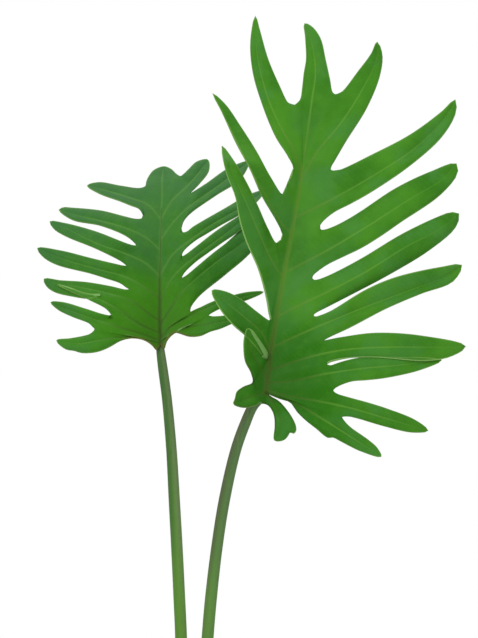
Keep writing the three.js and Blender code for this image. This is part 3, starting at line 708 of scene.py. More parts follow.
def stem_path(name, rows, per_span=10):
    """A line of points with the thickness at each. rows are x, y, z and radius in millimetres."""
    line = smooth_line(rows, per_span)
    path = new_piece(name, line[:, :3], [])
    path.data.edges.add(len(line) - 1)
    ends = np.stack([np.arange(len(line) - 1), np.arange(1, len(line))], axis=1)
    path.data.edges.foreach_set("vertices", ends.ravel())
    store(path, "thickness", line[:, 3] * MM)
    return path


# %% [markdown]
# ## Stalks
# Each leaf stands on its own stalk, a round leaf stem 6 to 7 mm thick that widens where it
# clasps the rooted stem. The low leaf's stalk is nearly straight, and the tall leaf's bends
# over to the right before it meets the blade. They are swept along the measured points, and
# their feet go down into the mix, so no cut end shows. Straight rods would be quicker, but they
# would miss the bend, the taper and the swollen foot.

# %% Stalks
STALK_LOW = [
    # x, y, z, radius
    (-9.7, 7.5, 121, 5.9), (-9.7, 8, 127, 5.6), (-9.6, 9, 142, 4.3), (-9.4, 10.5, 165, 3.75),
    (-9.6, 12, 188, 3.6), (-10.6, 13.5, 211, 3.55), (-12.05, 15.5, 241, 3.5),
    (-13.7, 17.5, 271, 3.4), (-15.4, 19.5, 301, 3.2), (-18.1, 21.8, 331, 3),
    (-20.9, 23.6, 352, 2.85), (-22.4, 25.2, 364.5, 2.3), (-22.4, 27.9, 374, 1.3),
]
STALK_TALL = [
    (4.2, -4.6, 121, 5.9), (4.2, -5, 127, 5.6), (4, -5.6, 142, 4.3), (4.7, -6.4, 165, 3.75),
    (6.35, -7.2, 188, 3.6), (8.3, -8, 211, 3.6), (11.75, -9, 241, 3.45),
    (16.45, -10.2, 271, 3.4), (23.3, -11, 301, 3.25), (29, -10.9, 317, 3.2),
    (33.6, -11, 327, 3), (40.2, -10.6, 334.5, 2.6), (43, -11, 342, 1.4),
]


def stalk_finish(name, low_green, high_green, left_tint, right_painted_light):
    """Green that darkens towards the blade, with lengthwise fibres, a tint at the left, and a paler tint
    at the right that is painted light.
    """
    stalk = Finish(name, 0.5, 0.22)
    up = stalk.ramp(stalk.stored("along"), 0.25, 0.95)
    aside = stalk.stored("aside")
    green = stalk.mix(up, low_green, high_green)
    strength = stalk.ramp(up, 0.0, 0.5, 0.4, 1)
    left = stalk.math("MULTIPLY", stalk.ramp(aside, 0.25, -0.6, 0, 0.75), strength)
    green = stalk.mix(left, green, left_tint)
    # the paler right side is painted light, standing in for light from the right
    right = stalk.math("MULTIPLY", stalk.ramp(aside, -0.25, 0.5, 0, 0.75), strength)
    green = stalk.mix(right, green, right_painted_light)
    fibres = stalk.noise(900, 3, (1, 1, 0.04))
    green = stalk.mix(stalk.ramp(fibres, 0.5, 0.75, 0, 0.25), green, linear(112, 150, 70))
    flecks = stalk.noise(700, 2, (1, 1, 0.35))
    green = stalk.mix(stalk.ramp(flecks, 0.66, 0.74, 0, 0.3), green, linear(62, 84, 38))
    stalk.set("Base Color", green)
    stalk.bump(fibres, 0.0003, 0.5)
    return stalk


def store_aside(stalk, rows):
    """Keeps for each point how far left (-1) or right (1) of the stalk's middle it lies."""
    line = smooth_line(rows)
    points = np.array([tuple(point.co / MM) for point in stalk.data.vertices])
    middle = np.interp(points[:, 2], line[:, 2], line[:, 0])
    radius = np.interp(points[:, 2], line[:, 2], line[:, 3])
    store(stalk, "aside", (points[:, 0] - middle) / radius)


STALK_SIDES = 40
STALK_OVAL = 0.94
STALKS = [
    # name, rows, green below, green above, tint at the left, painted light at the right
    ("stalk_low", STALK_LOW, linear(98, 152, 48), linear(68, 106, 48), linear(62, 102, 46),
     linear(112, 138, 88)),
    ("stalk_tall", STALK_TALL, linear(94, 146, 56), linear(68, 102, 54), linear(84, 92, 62),
     linear(88, 118, 70)),
]
for name, rows, low_green, high_green, left_tint, right_painted_light in STALKS:
    finish = stalk_finish(name + "_skin", low_green, high_green, left_tint, right_painted_light)
    path = stem_path(name + "_path", rows)
    stalk = sweep_tree("sweep " + name, finish.material, STALK_SIDES).run(path, name, Oval=STALK_OVAL)
    bpy.data.objects.remove(path)
    stalk.data.shade_smooth()
    store_aside(stalk, rows)
    finish_piece(stalk, finish.material, "stalk", name)

# %% [markdown]
# ## Rooted stem
# Both stalks grow from a short stout stem, ringed by the scars of old leaves. Its thick roots
# arch out and down through the mix. Crown and roots are one grown piece, so their meshes are
# laid together and remeshed into a single skin, which melts the roots into the crown. A boolean
# union would join them too, but it leaves a hard crease round each root.

# %% Rooted stem
CROWN_CENTRE = (-2, 2)
CROWN_PROFILE = [(92, 3), (96, 6.5), (104, 9), (116, 10), (127, 9.6), (134, 8), (138, 4.5)]
CROWN_RINGS = 7            # scars of old leaves
CROWN_RING_HEIGHT = 0.35
CROWN_SIDES = 64
ROOT_COUNT = 6
ROOT_RADIUS = 2
ROOT_TIP_RADIUS = 0.9
ROOT_REACH = 40
ROOT_TOP = 108
ROOT_LOW = 22
ROOT_STAGGER = 9           # of three roots, the second ends this much higher and the third twice that
ROOT_TURN = 0.25
ROOT_PATH = [
    # reach, share of the way down, radius, turn in radians
    (5, 0, ROOT_RADIUS, 0),
    (0.55 * ROOT_REACH, 0.3, ROOT_RADIUS, 0.15),
    (0.9 * ROOT_REACH, 0.65, (ROOT_RADIUS + ROOT_TIP_RADIUS) / 2, 0.4),
    (ROOT_REACH, 1, ROOT_TIP_RADIUS, 0.8),
]
ROOT_SIDES = 16
STEM_VOXEL = 0.6           # grain of the remesh

bark_skin = Finish("stem_skin", 0.75, 0.3)
bark_bands = bark_skin.noise(180, 4, (1, 1, 3))
stem_colour = bark_skin.mix(bark_skin.ramp(bark_bands, 0.35, 0.65), linear(104, 92, 58),
                            linear(140, 124, 84))
green_patches = bark_skin.ramp(bark_skin.noise(60, 3), 0.5, 0.7)
bark_skin.set("Base Color", bark_skin.mix(green_patches, stem_colour, linear(92, 104, 54)))
bark_skin.bump(bark_bands, 0.0008, 0.7)

crown_line = smooth_line([(radius, height) for height, radius in CROWN_PROFILE], 10)
crown_share = np.linspace(0, 1, len(crown_line))
crown_line[:, 0] += CROWN_RING_HEIGHT * np.sin(crown_share * CROWN_RINGS * 2 * math.pi)
crown_low = (0, CROWN_PROFILE[0][0])
crown_high = (0, CROWN_PROFILE[-1][0])
crown = turned("crown", [crown_low, *map(tuple, crown_line), crown_high], CROWN_SIDES)
for point in crown.data.vertices:
    point.co += Vector((*CROWN_CENTRE, 0)) * MM

root_sweep = sweep_tree("sweep root", bark_skin.material, ROOT_SIDES)
roots = []
for root in range(ROOT_COUNT):
    angle = 2 * math.pi * (root + ROOT_TURN) / ROOT_COUNT
    depth = ROOT_LOW + ROOT_STAGGER * (root % 3)
    rows = []
    for reach, down, radius, turn in ROOT_PATH:
        x = CROWN_CENTRE[0] + reach * math.cos(angle + turn)
        y = CROWN_CENTRE[1] + reach * math.sin(angle + turn)
        rows.append((x, y, (1 - down) * ROOT_TOP + down * depth, radius))
    path = stem_path("root_path", rows)
    roots.append(root_sweep.run(path, "root"))
    bpy.data.objects.remove(path)


def joined(name, pieces):
    """One new object that holds the meshes of all the pieces, which are removed."""
    points = []
    faces = []
    for piece in pieces:
        offset = len(points)
        points += [tuple(point.co / MM) for point in piece.data.vertices]
        faces += [[offset + index for index in face.vertices] for face in piece.data.polygons]
        bpy.data.objects.remove(piece)
    return new_piece(name, points, faces)


rootstock = joined("rootstock", [crown, *roots])
fuse = rootstock.modifiers.new("fuse", "REMESH")
fuse.mode = "VOXEL"
fuse.voxel_size = STEM_VOXEL * MM
settle(rootstock)
rootstock.data.shade_smooth()
finish_piece(rootstock, bark_skin.material, "stem", "rootstock")

# %% [markdown]
# ## The next leaf in its sheath
# Between the two stalks stands the next leaf, still rolled up in a pale pointed sheath. The
# sheath wraps once round, so one edge overlaps the other in a seam that winds slowly upwards.
# It is a tapered tube whose radius steps at the seam, which a plain cone would not show.

# %% Bud sheath
BUD = [
    # x, y, z, radius
    (-3, 2.5, 129, 5.5), (-3.4, 3, 137, 4.8), (-4, 3.5, 147, 3.6), (-4.2, 3.8, 158, 2.3),
    (-4, 3.6, 167, 1.1), (-3.7, 3.3, 172, 0.4),
]
BUD_SIDES = 72
BUD_POINT = 0.3
SEAM_START = -2.0     # radians round the sheath, and so are the next width and wind
SEAM_WIND = 1.2
SEAM_WIDTH = 0.16
SEAM_DEPTH = 0.1      # share of the radius
LAP_FADE = 0.9        # radians over which the lap thins out

bud_line = smooth_line(BUD, 14)
bud_points = [bud_line[0, :3]]
bud_runs = [0.0]
for ring, (x, y, z, radius) in enumerate(bud_line):
    share = ring / (len(bud_line) - 1)
    seam = SEAM_START + SEAM_WIND * share
    for side in range(BUD_SIDES):
        turn = 2 * math.pi * side / BUD_SIDES
        past = (turn - seam) % (2 * math.pi)
        groove = math.exp(-(min(past, 2 * math.pi - past) / SEAM_WIDTH) ** 2)
        lap = 0.5 * SEAM_DEPTH * math.exp(-past / LAP_FADE)
        wide = radius * (1 + lap - SEAM_DEPTH * groove)
        bud_points.append((x + wide * math.cos(turn), y + wide * math.sin(turn), z))
        bud_runs.append(share)
bud_points.append(bud_line[-1, :3] + (0, 0, BUD_POINT))
bud_runs.append(1.0)
bud_faces = []
top = len(bud_points) - 1
last = top - BUD_SIDES
for side in range(BUD_SIDES):
    after = (side + 1) % BUD_SIDES
    bud_faces.append((0, 1 + after, 1 + side))
    bud_faces.append((top, last + side, last + after))
    for ring in range(len(bud_line) - 1):
        low = 1 + ring * BUD_SIDES
        bud_faces.append((low + side, low + after, low + BUD_SIDES + after, low + BUD_SIDES + side))
bud = new_piece("bud_sheath", bud_points, bud_faces)
store(bud, "along", bud_runs)

sheath = Finish("sheath_skin", 0.5, 0.4)
upward = sheath.ramp(sheath.stored("along"), 0.1, 0.9)
pale = sheath.mix(upward, linear(150, 168, 98), linear(176, 150, 112))
lines = sheath.noise(1100, 2, (1, 1, 0.05))
pale = sheath.mix(sheath.ramp(lines, 0.45, 0.7, 0, 0.45), pale, linear(116, 138, 70))
sheath.set("Base Color", pale)
sheath.bump(lines, 0.0003, 0.5)
finish_piece(bud, sheath.material, "sheath", "bud_sheath")

# %% [markdown]
# ## The blades
# A blade is one grown sheet: a midrib from which veins run out, each into a lobe of its own,
# with rounded bays between the lobes. It could be cut from a flat picture, but a real lobe
# has a vein at its middle, swells between vein and margin, and bends away at its edges. So the
# sheet is woven lobe by lobe, as a grid that starts on the midrib and follows the vein to the
# tip, and the blade's form is worked into that grid.
#
# The lobes stand in order round the blade, up its left side and down its right. Points are
# (right, up) in millimetres from the top of the stalk, as seen from the front. For each lobe:
# root says where on the midrib its near side, vein and far side start, from 0 at the stalk to
# 24 at the midrib's end. vein leads to the tip, near is its edge on the way to the tip and far
# the edge behind it, and notch is the bottom of the bay after it. lift says how far its tip
# stands back. fold says how steeply its near and far halves slope back from the vein. roll
# says how many millimetres of its near and far margins are rolled over to the front. A plain
# one shows no vein and only fills the sheet between a bay and the midrib.

# %% Outline of the tall blade
TALL_LOBES = [
    dict(
        root=(0, 1, 2), tip=(4.9, -28.2), notch=(-2.6, -6.2), lift=1,
        vein=[(2, -3), (6, -9), (9, -17), (8.5, -23.5)],
        near=[(10.7, -8.1), (15.2, -14.3), (17.7, -19.8), (17.8, -22.6), (16.6, -24.2),
            (14.3, -23.4), (13.5, -24.8), (11.3, -27.6), (8, -28.8)],
        far=[(5.2, -20.3), (5, -14.7), (3.6, -10.3), (0.8, -7)],
    ),
    dict(
        root=(2, 3, 4), tip=(-19.5, -6.5), notch=(-8.2, 6.3), lift=3, roll=(0.8, 0),
        vein=[(-5, -1), (-10, -2.5), (-15, -4.6)],
        near=[(-4.2, -6.4), (-5.9, -7.4), (-10.9, -8.6), (-15.8, -8.3)],
        far=[(-18.6, -3.2), (-17.5, 0.7), (-13.6, 3.7)],
    ),
    dict(
        root=(4, 5, 7), tip=(-11.4, 38.6), notch=(0.4, 20.2), lift=-7, roll=(0, 3.6),
        vein=[(-2.5, 12.5), (-6.5, 20), (-9.5, 28)],
        near=[(-9, 12), (-12.5, 19), (-13.5, 27), (-13.2, 33)],
        far=[(-8.7, 37.6), (-5.7, 33.8), (-3.1, 30.4), (-0.8, 27), (1.2, 23.5)],
    ),
    dict(
        root=(7, 10, 13), tip=(-32.5, 61.5), notch=(2.2, 43.5), lift=6, roll=(0.8, 0),
        vein=[(-2.5, 35.5), (-12, 44.5), (-23, 53.5)],
        near=[(-6.5, 28), (-12, 34), (-20.5, 41.5), (-28, 51)],
        far=[(-25, 61), (-15.5, 56.5), (-6, 49)],
    ),
    dict(
        root=(13, 17, 19), tip=(-26.5, 148), notch=(6.2, 89.8), lift=0, roll=(0.8, 0),
        vein=[(3.5, 78.5), (-5, 97), (-13, 116), (-20.5, 131.5)],
        near=[(1.4, 48.5), (-0.1, 57.4), (-4.7, 74.2), (-12, 90.9), (-16, 104), (-18.3, 117.5),
            (-24, 132.5)],
        far=[(-20, 140), (-11.5, 125.5), (-5, 112), (1, 98.5)],
    ),
    dict(
        root=(19, 19.25, 19.5), tip=(8.9, 92), notch=(9.8, 95.2), lift=0, plain=True,
        vein=[(13, 91)],
        near=[],
        far=[],
    ),
    dict(
        root=(19.5, 20, 21), tip=(-32, 179.5), notch=(9.8, 119.1), lift=-4,
        vein=[(8.5, 102.5), (-1, 119), (-9.5, 134), (-20.5, 156.5)],
        near=[(6.5, 102.5), (-2.5, 118), (-9.5, 134), (-17.9, 149.6), (-26.5, 168.5)],
        far=[(-24.5, 173), (-15.5, 160), (-6, 145), (2.5, 129.5)],
    ),
    dict(
        root=(21, 21.5, 22), tip=(13.4, 127.2), notch=(16.4, 135), lift=0, plain=True,
        vein=[(17, 118)],
        near=[(11.6, 122.6)],
        far=[(15.6, 130.5)],
    ),
    dict(
        root=(22, 23, 24), tip=(-6.5, 226), notch=(17, 172.7), lift=4,
        vein=[(18, 141.5), (8.5, 159.5), (0.5, 178), (-5.5, 203)],
        near=[(12.6, 142.8), (5.5, 154), (-2.5, 173.5), (-8, 192.5), (-9.4, 210.5)],
        far=[(-4, 218), (1, 200.5), (8, 184), (13, 174), (14.4, 173.4)],
    ),
    dict(
        root=(24, 24, 24), tip=(23, 221.5), notch=(41.4, 179), lift=5,
        vein=[(25, 158), (27.5, 176), (29.5, 192.5), (27.5, 209)],
        near=[(17.9, 173.2), (20.5, 176), (21.8, 184), (22.7, 192), (24, 200), (23.5, 213)],
        far=[(27.5, 219.5), (32.5, 212.5), (35.5, 200), (38.1, 188), (39.6, 180.4)],
    ),
    dict(
        root=(24, 23, 22), tip=(66.5, 210.5), notch=(38.5, 134), lift=2,
        vein=[(30.5, 144.5), (43, 159.5), (54.5, 176.5), (65.5, 198.5)],
        near=[(43.6, 179.6), (46, 181), (54.5, 192), (63, 203.5)],
        far=[(69.5, 203), (68, 190), (60, 170.5), (48, 151.3), (41, 139.4), (38.9, 135.8)],
    ),
    dict(
        root=(22, 21, 19), tip=(113.3, 175.9), notch=(32.2, 100.5), lift=3, fold=(-0.2, -0.2),
        vein=[(23.5, 108), (43, 118), (65.5, 131), (89.5, 147), (107, 165)],
        near=[(39.9, 133.2), (42.4, 133.5), (44.3, 133.7), (62.3, 142.3), (86.5, 155),
            (105, 168.5)],
        far=[(113.5, 168), (105.3, 153.7), (86.2, 136.4), (62.5, 120.3), (50.6, 113.6),
            (40.2, 108.2), (33.7, 102.7)],
    ),
    dict(
        root=(19, 17.375, 15), tip=(114, 137.5), notch=(27.5, 69.3), lift=0, fold=(0.3, 0),
        vein=[(20.5, 77), (38.5, 86.5), (62.5, 101), (86.5, 116.5), (105.5, 128)],
        near=[(32, 99.2), (32.7, 97.8), (34.9, 97.8), (39.2, 99.2), (47.4, 103.2), (57.1, 109.1),
            (77.4, 122.6), (98.3, 132.6)],
        far=[(114.5, 131.5), (104.5, 119), (80.5, 102.4), (68.7, 94.2), (56.8, 86.9),
            (45.9, 81.7), (36.4, 77), (29.9, 72.4), (28.2, 70.8)],
    ),
    dict(
        root=(15, 13.75, 12), tip=(115.5, 107.5), notch=(28.3, 46.4), lift=-2, fold=(0.3, 0.5),
        vein=[(15.5, 50.5), (35.5, 60), (59.5, 72.5), (83.5, 87.5), (104.5, 98.5)],
        near=[(28.2, 67.9), (30.5, 67.8), (35.4, 69.5), (46.6, 74.9), (59.3, 81.9), (82, 95.6),
            (104.4, 106.2), (111, 108.3)],
        far=[(113.5, 99.5), (98.5, 86.2), (74.5, 71.5), (50.3, 58.7), (36.2, 51.5), (30.6, 48.7),
            (28.8, 47.5)],
    ),
    dict(
        root=(12, 10.625, 9), tip=(117.2, 76.7), notch=(34.2, 31.3), lift=2, fold=(-0.5, -0.15),
        vein=[(15.5, 33), (33.5, 41), (56.5, 50.5), (83.5, 60.5), (104.5, 68.5)],
        near=[(29.5, 45.7), (32.2, 46.4), (38.5, 49), (60, 62), (77.4, 69.3), (104.4, 75.4)],
        far=[(112, 67), (92.5, 59.5), (71.5, 50.5), (50.5, 39.5), (36.5, 32.9)],
    ),
    dict(
        root=(9, 7.5, 6), tip=(119.5, 28), notch=(36.4, 17.2), lift=-3,
        fold=(0.1, 0.25), roll=(0, 0.9),
        vein=[(13, 17.5), (27.5, 22), (47.5, 26), (71.5, 27.5), (98.5, 27.5)],
        near=[(37.2, 31.9), (45.5, 33.5), (65.5, 36), (92.6, 34.4)],
        far=[(110.5, 22), (95.5, 19.5), (65.5, 21.5), (50.5, 21.2), (41.7, 19.5), (38.3, 18.5)],
    ),
    dict(
        root=(6, 5, 4), tip=(105.2, 19.8), notch=(40.1, 1.6), lift=3, fold=(0, -0.25),
        vein=[(14.5, 7), (32.5, 11), (56.5, 14.6), (80.5, 16.8)],
        near=[(38.7, 16.5), (42, 17.6), (47, 19.2), (56.5, 21.2), (80.5, 21.5)],
        far=[(92.5, 14), (71.5, 9.2), (60.5, 7.9), (50.7, 7), (41.7, 3.4)],
    ),
    dict(
        root=(4, 3, 2), tip=(97, -22.5), notch=(45.4, -14.3), lift=4,
        vein=[(11.5, -1.5), (29.5, -4.5), (50.5, -9), (74.5, -16)],
        near=[(41.7, -0.1), (50.5, -2.9), (60.8, -5.7), (71.6, -9.1), (89.5, -16.3)],
        far=[(87.5, -23.5), (71.5, -20), (54.4, -15), (49.4, -13.9)],
    ),
    dict(
        root=(2, 1, 0), tip=(68.9, -38.1), notch=(23.5, -16), lift=-3,
        vein=[(11.5, -3), (22, -8.5), (38.5, -18.5), (55, -29)],
        near=[(46.2, -16), (50.5, -20.5), (61, -28), (66.6, -33)],
        far=[(56.2, -34.6), (49.9, -31.6), (44.6, -28.8), (39.9, -26.5), (37, -26.7), (30, -21.2)],
    ),
]
print("lobes of the tall blade, with its fillers:", len(TALL_LOBES))

# %% Outline of the low blade
LOW_LOBES = [
    dict(
        root=(0, 2, 3), tip=(-62.5, 2.5), notch=(-39.5, 9.2), lift=-3,
        vein=[(-12, 4.5), (-25, 4.5), (-37, 2.5), (-49, 0.5)],
        near=[(-23.3, 2.6), (-30.8, -1.5), (-36, -3.7), (-41, -4.8), (-47.5, -4.9), (-52, -3.6),
            (-57, -2.7)],
        far=[(-54, 3.7), (-43.2, 6), (-40.7, 7.6)],
    ),
    dict(
        root=(3, 4, 6), tip=(-66, 25.5), notch=(-29.6, 17.9), lift=3, fold=(0.2, -0.5),
        vein=[(-13, 7), (-29, 11.5), (-45, 17), (-57, 21.5)],
        near=[(-41, 11.1), (-43, 12.9), (-53, 16.8), (-61.5, 21)],
        far=[(-59, 25.5), (-45, 21.5), (-34.2, 18.1), (-30.5, 17.5)],
    ),
    dict(
        root=(6, 7, 8), tip=(-61.8, 35.9), notch=(-36, 30.2), lift=-1.5, roll=(0, 1.2),
        vein=[(-11, 11.5), (-24, 20), (-37, 27), (-49, 31)],
        near=[(-30.2, 19), (-32.9, 21.8), (-41.4, 26.2), (-47, 28.9), (-54, 31.8)],
        far=[(-55, 34.3), (-48, 31.6), (-42, 30.2)],
    ),
    dict(
        root=(8, 10, 12), tip=(-70, 39.5), notch=(-18.7, 33.2), lift=1.5,
        vein=[(-7, 18.5), (-17, 26), (-31, 30.5), (-51, 35)],
        near=[(-42, 27.8), (-54, 29.2), (-63.7, 31.7), (-68.5, 35.2)],
        far=[(-60, 38.5), (-45, 37.5), (-30, 35), (-21.2, 33)],
    ),
    dict(
        root=(12, 14, 15), tip=(-74, 58), notch=(-20.4, 47.4), lift=2, fold=(0.2, -0.45),
        vein=[(-8.5, 33.5), (-21, 40.5), (-39, 45.5), (-59, 51.5)],
        near=[(-20.7, 34.6), (-24.2, 37), (-32.5, 39.8), (-42, 42.8), (-63, 48.3), (-70.8, 53)],
        far=[(-60, 56.5), (-42, 52), (-27.8, 48.6), (-22.9, 47.5)],
    ),
    dict(
        root=(15, 17, 19), tip=(-66.5, 74), notch=(-14.6, 59.7), lift=-2, fold=(0.25, -0.3),
        vein=[(-8.5, 48.5), (-21, 54.5), (-39, 61), (-55, 69)],
        near=[(-22.3, 49.2), (-24, 50.4), (-39, 57.8), (-57.4, 65.4), (-64, 69.6)],
        far=[(-57.6, 73), (-39, 68), (-17.2, 59.8)],
    ),
    dict(
        root=(19, 20, 22), tip=(-61, 81), notch=(-10.5, 77.5), lift=3, fold=(-0.1, 0),
        vein=[(-8.5, 64), (-21, 70), (-37, 74.5), (-51.5, 78)],
        near=[(-15.8, 61.5), (-21, 65.5), (-36, 71.5), (-53, 75)],
        far=[(-58.3, 82.4), (-54, 82.2), (-36, 80.5), (-13.9, 75.4), (-11, 76)],
    ),
    dict(
        root=(22, 23, 24), tip=(-44, 95.5), notch=(-9, 95.3), lift=0, fold=(-0.3, 0),
        vein=[(-7, 83.5), (-18, 88), (-31, 92)],
        near=[(-11, 79), (-12.9, 81.6), (-18, 83.6), (-24.2, 86.1), (-37, 90.8)],
        far=[(-37, 97.5), (-24, 95.4), (-12.4, 94)],
    ),
    dict(
        root=(24, 24, 24), tip=(2, 107), notch=(12, 101.2), lift=4,
        vein=[(1, 90), (1, 98)],
        near=[(-8.4, 97.8), (-7.5, 100.2), (-4.2, 104.6)],
        far=[(6.3, 105.5), (9.9, 102.2)],
    ),
    dict(
        root=(24, 23, 22), tip=(28.5, 111), notch=(18, 91), lift=1, fold=(-0.35, -0.3),
        vein=[(7, 86.5), (14.5, 93.5), (23, 103)],
        near=[(14.2, 102.7), (17, 105.5), (22, 110)],
        far=[(29, 104.5), (23.4, 96.7)],
    ),
    dict(
        root=(22, 21, 19), tip=(53, 110), notch=(12.5, 70.2), lift=4, fold=(-0.35, 0),
        vein=[(7, 72.5), (18, 83.5), (35, 95.5)],
        near=[(27.2, 96.6), (41, 106.1)],
        far=[(48, 99.5), (33, 89.5), (17.3, 78.3), (13.3, 73.2)],
    ),
    dict(
        root=(19, 17, 15), tip=(62.5, 92.5), notch=(12.8, 54), lift=4, fold=(-0.3, -0.1),
        vein=[(7, 53.5), (15.5, 61), (30, 71.5), (48, 82)],
        near=[(13.4, 67.4), (15.7, 67.8), (20, 71), (39, 82), (54, 90.5)],
        far=[(55, 83), (36, 71.7), (28, 66.9), (20.5, 62.3), (14, 56.5)],
    ),
    dict(
        root=(15, 13, 11), tip=(57, 82), notch=(12.8, 40.2), lift=-4, fold=(-0.25, 0.1),
        vein=[(6, 38.5), (14.5, 47.5), (27, 57.5), (43, 69.5)],
        near=[(12.9, 53), (14.8, 53.8), (21, 58.5), (36, 70)],
        far=[(51.5, 72), (36, 60.6), (28, 54.9), (20.6, 49.4), (14, 42.9)],
    ),
    dict(
        root=(11, 9, 7), tip=(62, 70), notch=(18, 19.7), lift=1, fold=(-0.2, 0.15),
        vein=[(5, 20), (14.5, 33), (29, 46), (47, 59)],
        near=[(14.8, 41), (23, 47.7), (30.4, 53.9), (38.4, 60.1), (54, 72)],
        far=[(55, 56.5), (38.7, 41.9), (23.6, 29.6), (18.8, 23.7), (17.9, 21.6)],
    ),
    dict(
        root=(7, 5, 4), tip=(62, 31.7), notch=(28.9, 17.5), lift=2,
        vein=[(7, 11.5), (17, 17), (31, 23.5), (48, 28)],
        near=[(20.2, 20.7), (24, 22.3), (31, 25.6), (39, 28.3), (53, 31.6)],
        far=[(53.2, 27.3), (39, 23), (30.6, 19)],
    ),
    dict(
        root=(4, 2, 0), tip=(49, 16), notch=(11.8, 6.6), lift=-2,
        vein=[(6, 7), (15.5, 10.5), (27.5, 12)],
        near=[(31.3, 16.9), (35, 17), (43, 17.5)],
        far=[(41, 11.8), (35.6, 9.5), (30, 7.9), (24, 5.3), (17.5, 4.9)],
    ),
]
print("lobes of the low blade:", len(LOW_LOBES))

# %% The two blades
# junction is the top of the stalk, as x, y and z. lean holds a slope and its change upwards,
# and so do fold_left and fold_right for the two halves. rib_width gives the half width of the
# midrib at some heights.
TALL_BLADE = dict(
    junction=(41.5, -14, 335), lean=(0.12, 0.0006),
    fold_left=(-1, 0.004), fold_right=(-0.25, 0.0028),
    midrib=[(0, 0), (2, 20), (6, 44), (10, 68), (14.5, 92), (19, 116), (22, 137)],
    heel_start=[(3.5, -2.5), (7, -4.5)], heel_end=[(18.3, -10.8), (14.5, -5.5), (8.5, -3.5)],
    rib_width=[(0, 2.1), (86, 1.5), (146, 0.9), (182, 0.6), (230, 0.3)],
    lobes=TALL_LOBES,
)
LOW_BLADE = dict(
    junction=(-22, 22, 364), lean=(0.36, 0.0035),
    fold_left=(-0.34, 0.004), fold_right=(-0.38, 0.0045),
    midrib=[(0, 0), (-0.5, 18), (-0.5, 39), (0, 60), (0.5, 81.5)],
    heel_start=[(-2.6, -3.2), (-4.6, -0.8), (-8.5, 2.4), (-15.5, 3.9)],
    heel_end=[(8.7, 7.2), (5.6, 4.8), (3.3, 1), (2.3, -2.6)],
    rib_width=[(0, 1.6), (40, 1.1), (82, 0.6), (110, 0.3)],
    lobes=LOW_LOBES,
)
for name, blade in (("tall", TALL_BLADE), ("low", LOW_BLADE)):
    print(f"{name} blade: top of its stalk at {blade['junction']} mm")

# %% [markdown]
# ## How a blade bends
# The blade leans back as it rises, its two halves fold up towards the front along the midrib,
# and then droop away again towards the tips, as a leaf does under its own weight. It could be
# pushed into shape by hand, but a few numbers for each blade say how strongly it bends, are
# easy to change, and give the depth at any point of the front view.

# %% Depth of a blade
FOLD_FADE = 25


def blade_depth(blade, x, z):
    """How far back the blade's own curve lies at a point of the front view, in millimetres."""
    ribs = np.array(blade["midrib"], float)
    rib_x = np.where(z > 0, np.interp(z, ribs[:, 1], ribs[:, 0]), 0.0)
    side = x - rib_x
    fold = np.where(side < 0, blade["fold_left"][0], blade["fold_right"][0])
    droop = np.where(side < 0, blade["fold_left"][1], blade["fold_right"][1])
    fade = 1 / (1 + np.maximum(0, z - ribs[-1, 1]) / FOLD_FADE)
    lean, arch = blade["lean"]
    return lean * z + arch * z * np.abs(z) + fade * fold * np.abs(side) + droop * side ** 2


# %% [markdown]
# ## Relief of a lobe
# On the upper side the vein lies in a crease, and the leaf swells on both sides of it and
# rolls back a little at the margin. Each half of a lobe also slopes its own way, which is why
# one half of a real lobe often looks lighter than the other. A bump in the finish could fake
# the creases, but not the way that the halves catch the light. All of this fades in from the
# bay, so neighbouring lobes still meet smoothly inside the blade.

# %% Relief of a lobe
SWELL_INSIDE = 0.9     # between the veins, inside the blade
SWELL_OUTSIDE = 0.7    # between vein and margin, out on a lobe
MARGIN_ROLL = 0.5
MARGIN_START = 0.72    # share of the way to the margin where it starts to roll back
FULL_WIDTH = 6.0       # half width of a lobe from which its relief is full
FREE_AT = 0.3          # share of a lobe past its bay where it moves on its own
LIFT_POWER = 1.2


def lobe_shape(lobe, beyond, side, half_width):
    """How far each point of a lobe stands behind the blade's own curve, in millimetres."""
    out = np.abs(side)
    free = eased(beyond, 0.0, FREE_AT)
    breadth = np.minimum(1, half_width / FULL_WIDTH)
    inside = 0.5 * (1 - np.cos(math.pi * out)) * SWELL_INSIDE
    outside = np.sin(math.pi * out) * SWELL_OUTSIDE * breadth
    swell = (1 - free) * inside + free * outside
    roll = MARGIN_ROLL * eased(out, MARGIN_START, 1.0) * free * breadth
    fold_near, fold_far = lobe.get("fold", (0, 0))
    slope = np.where(side < 0, fold_near, fold_far) * out * half_width * free
    return lobe["lift"] * beyond ** LIFT_POWER + slope + roll - swell


# %% [markdown]
# ## Weaving the sheet
# Rows run from the midrib to the tip of each lobe, columns from its near edge over its vein to
# its far edge. Inside the blade neighbouring lobes share their seam, and beyond the bay each
# lobe goes its own way. Filling the outline with triangles would be quicker, but then no edge
# of the mesh would follow a vein. The share of the way to the tip and the share from vein to
# margin are kept for every point, because the relief and the finish both need them.

# %% Grid of one lobe
MIDRIB_STEPS = 24
COLUMNS_PER_STEP = 8
TOP_COLUMNS = 2      # midrib steps' worth of columns where a lobe side has no midrib of its own
INNER_ROWS = 14      # from midrib to bay
OUTER_ROWS = 34      # from bay to tip
MIDRIB_EASE = 1.7    # rows are closer near the midrib
NOTCH_EASE = 1.35    # and near the bay
ROLL_START = 0.03    # share of the lobe over which a rolled margin rises
ROLL_END = 0.85      # share from which it flattens out again
ROLL_TAPER = 0.7     # how much narrower it gets
ROLL_HEIGHT = 0.7    # of its width
ROLL_COLUMNS = 8
BAY_ROWS = 5         # rows past a bay that are kept ahead of it
BAY_STEP = 0.02      # millimetres ahead for each row
BAY_SHIFT = 0.4      # the most that a point is moved


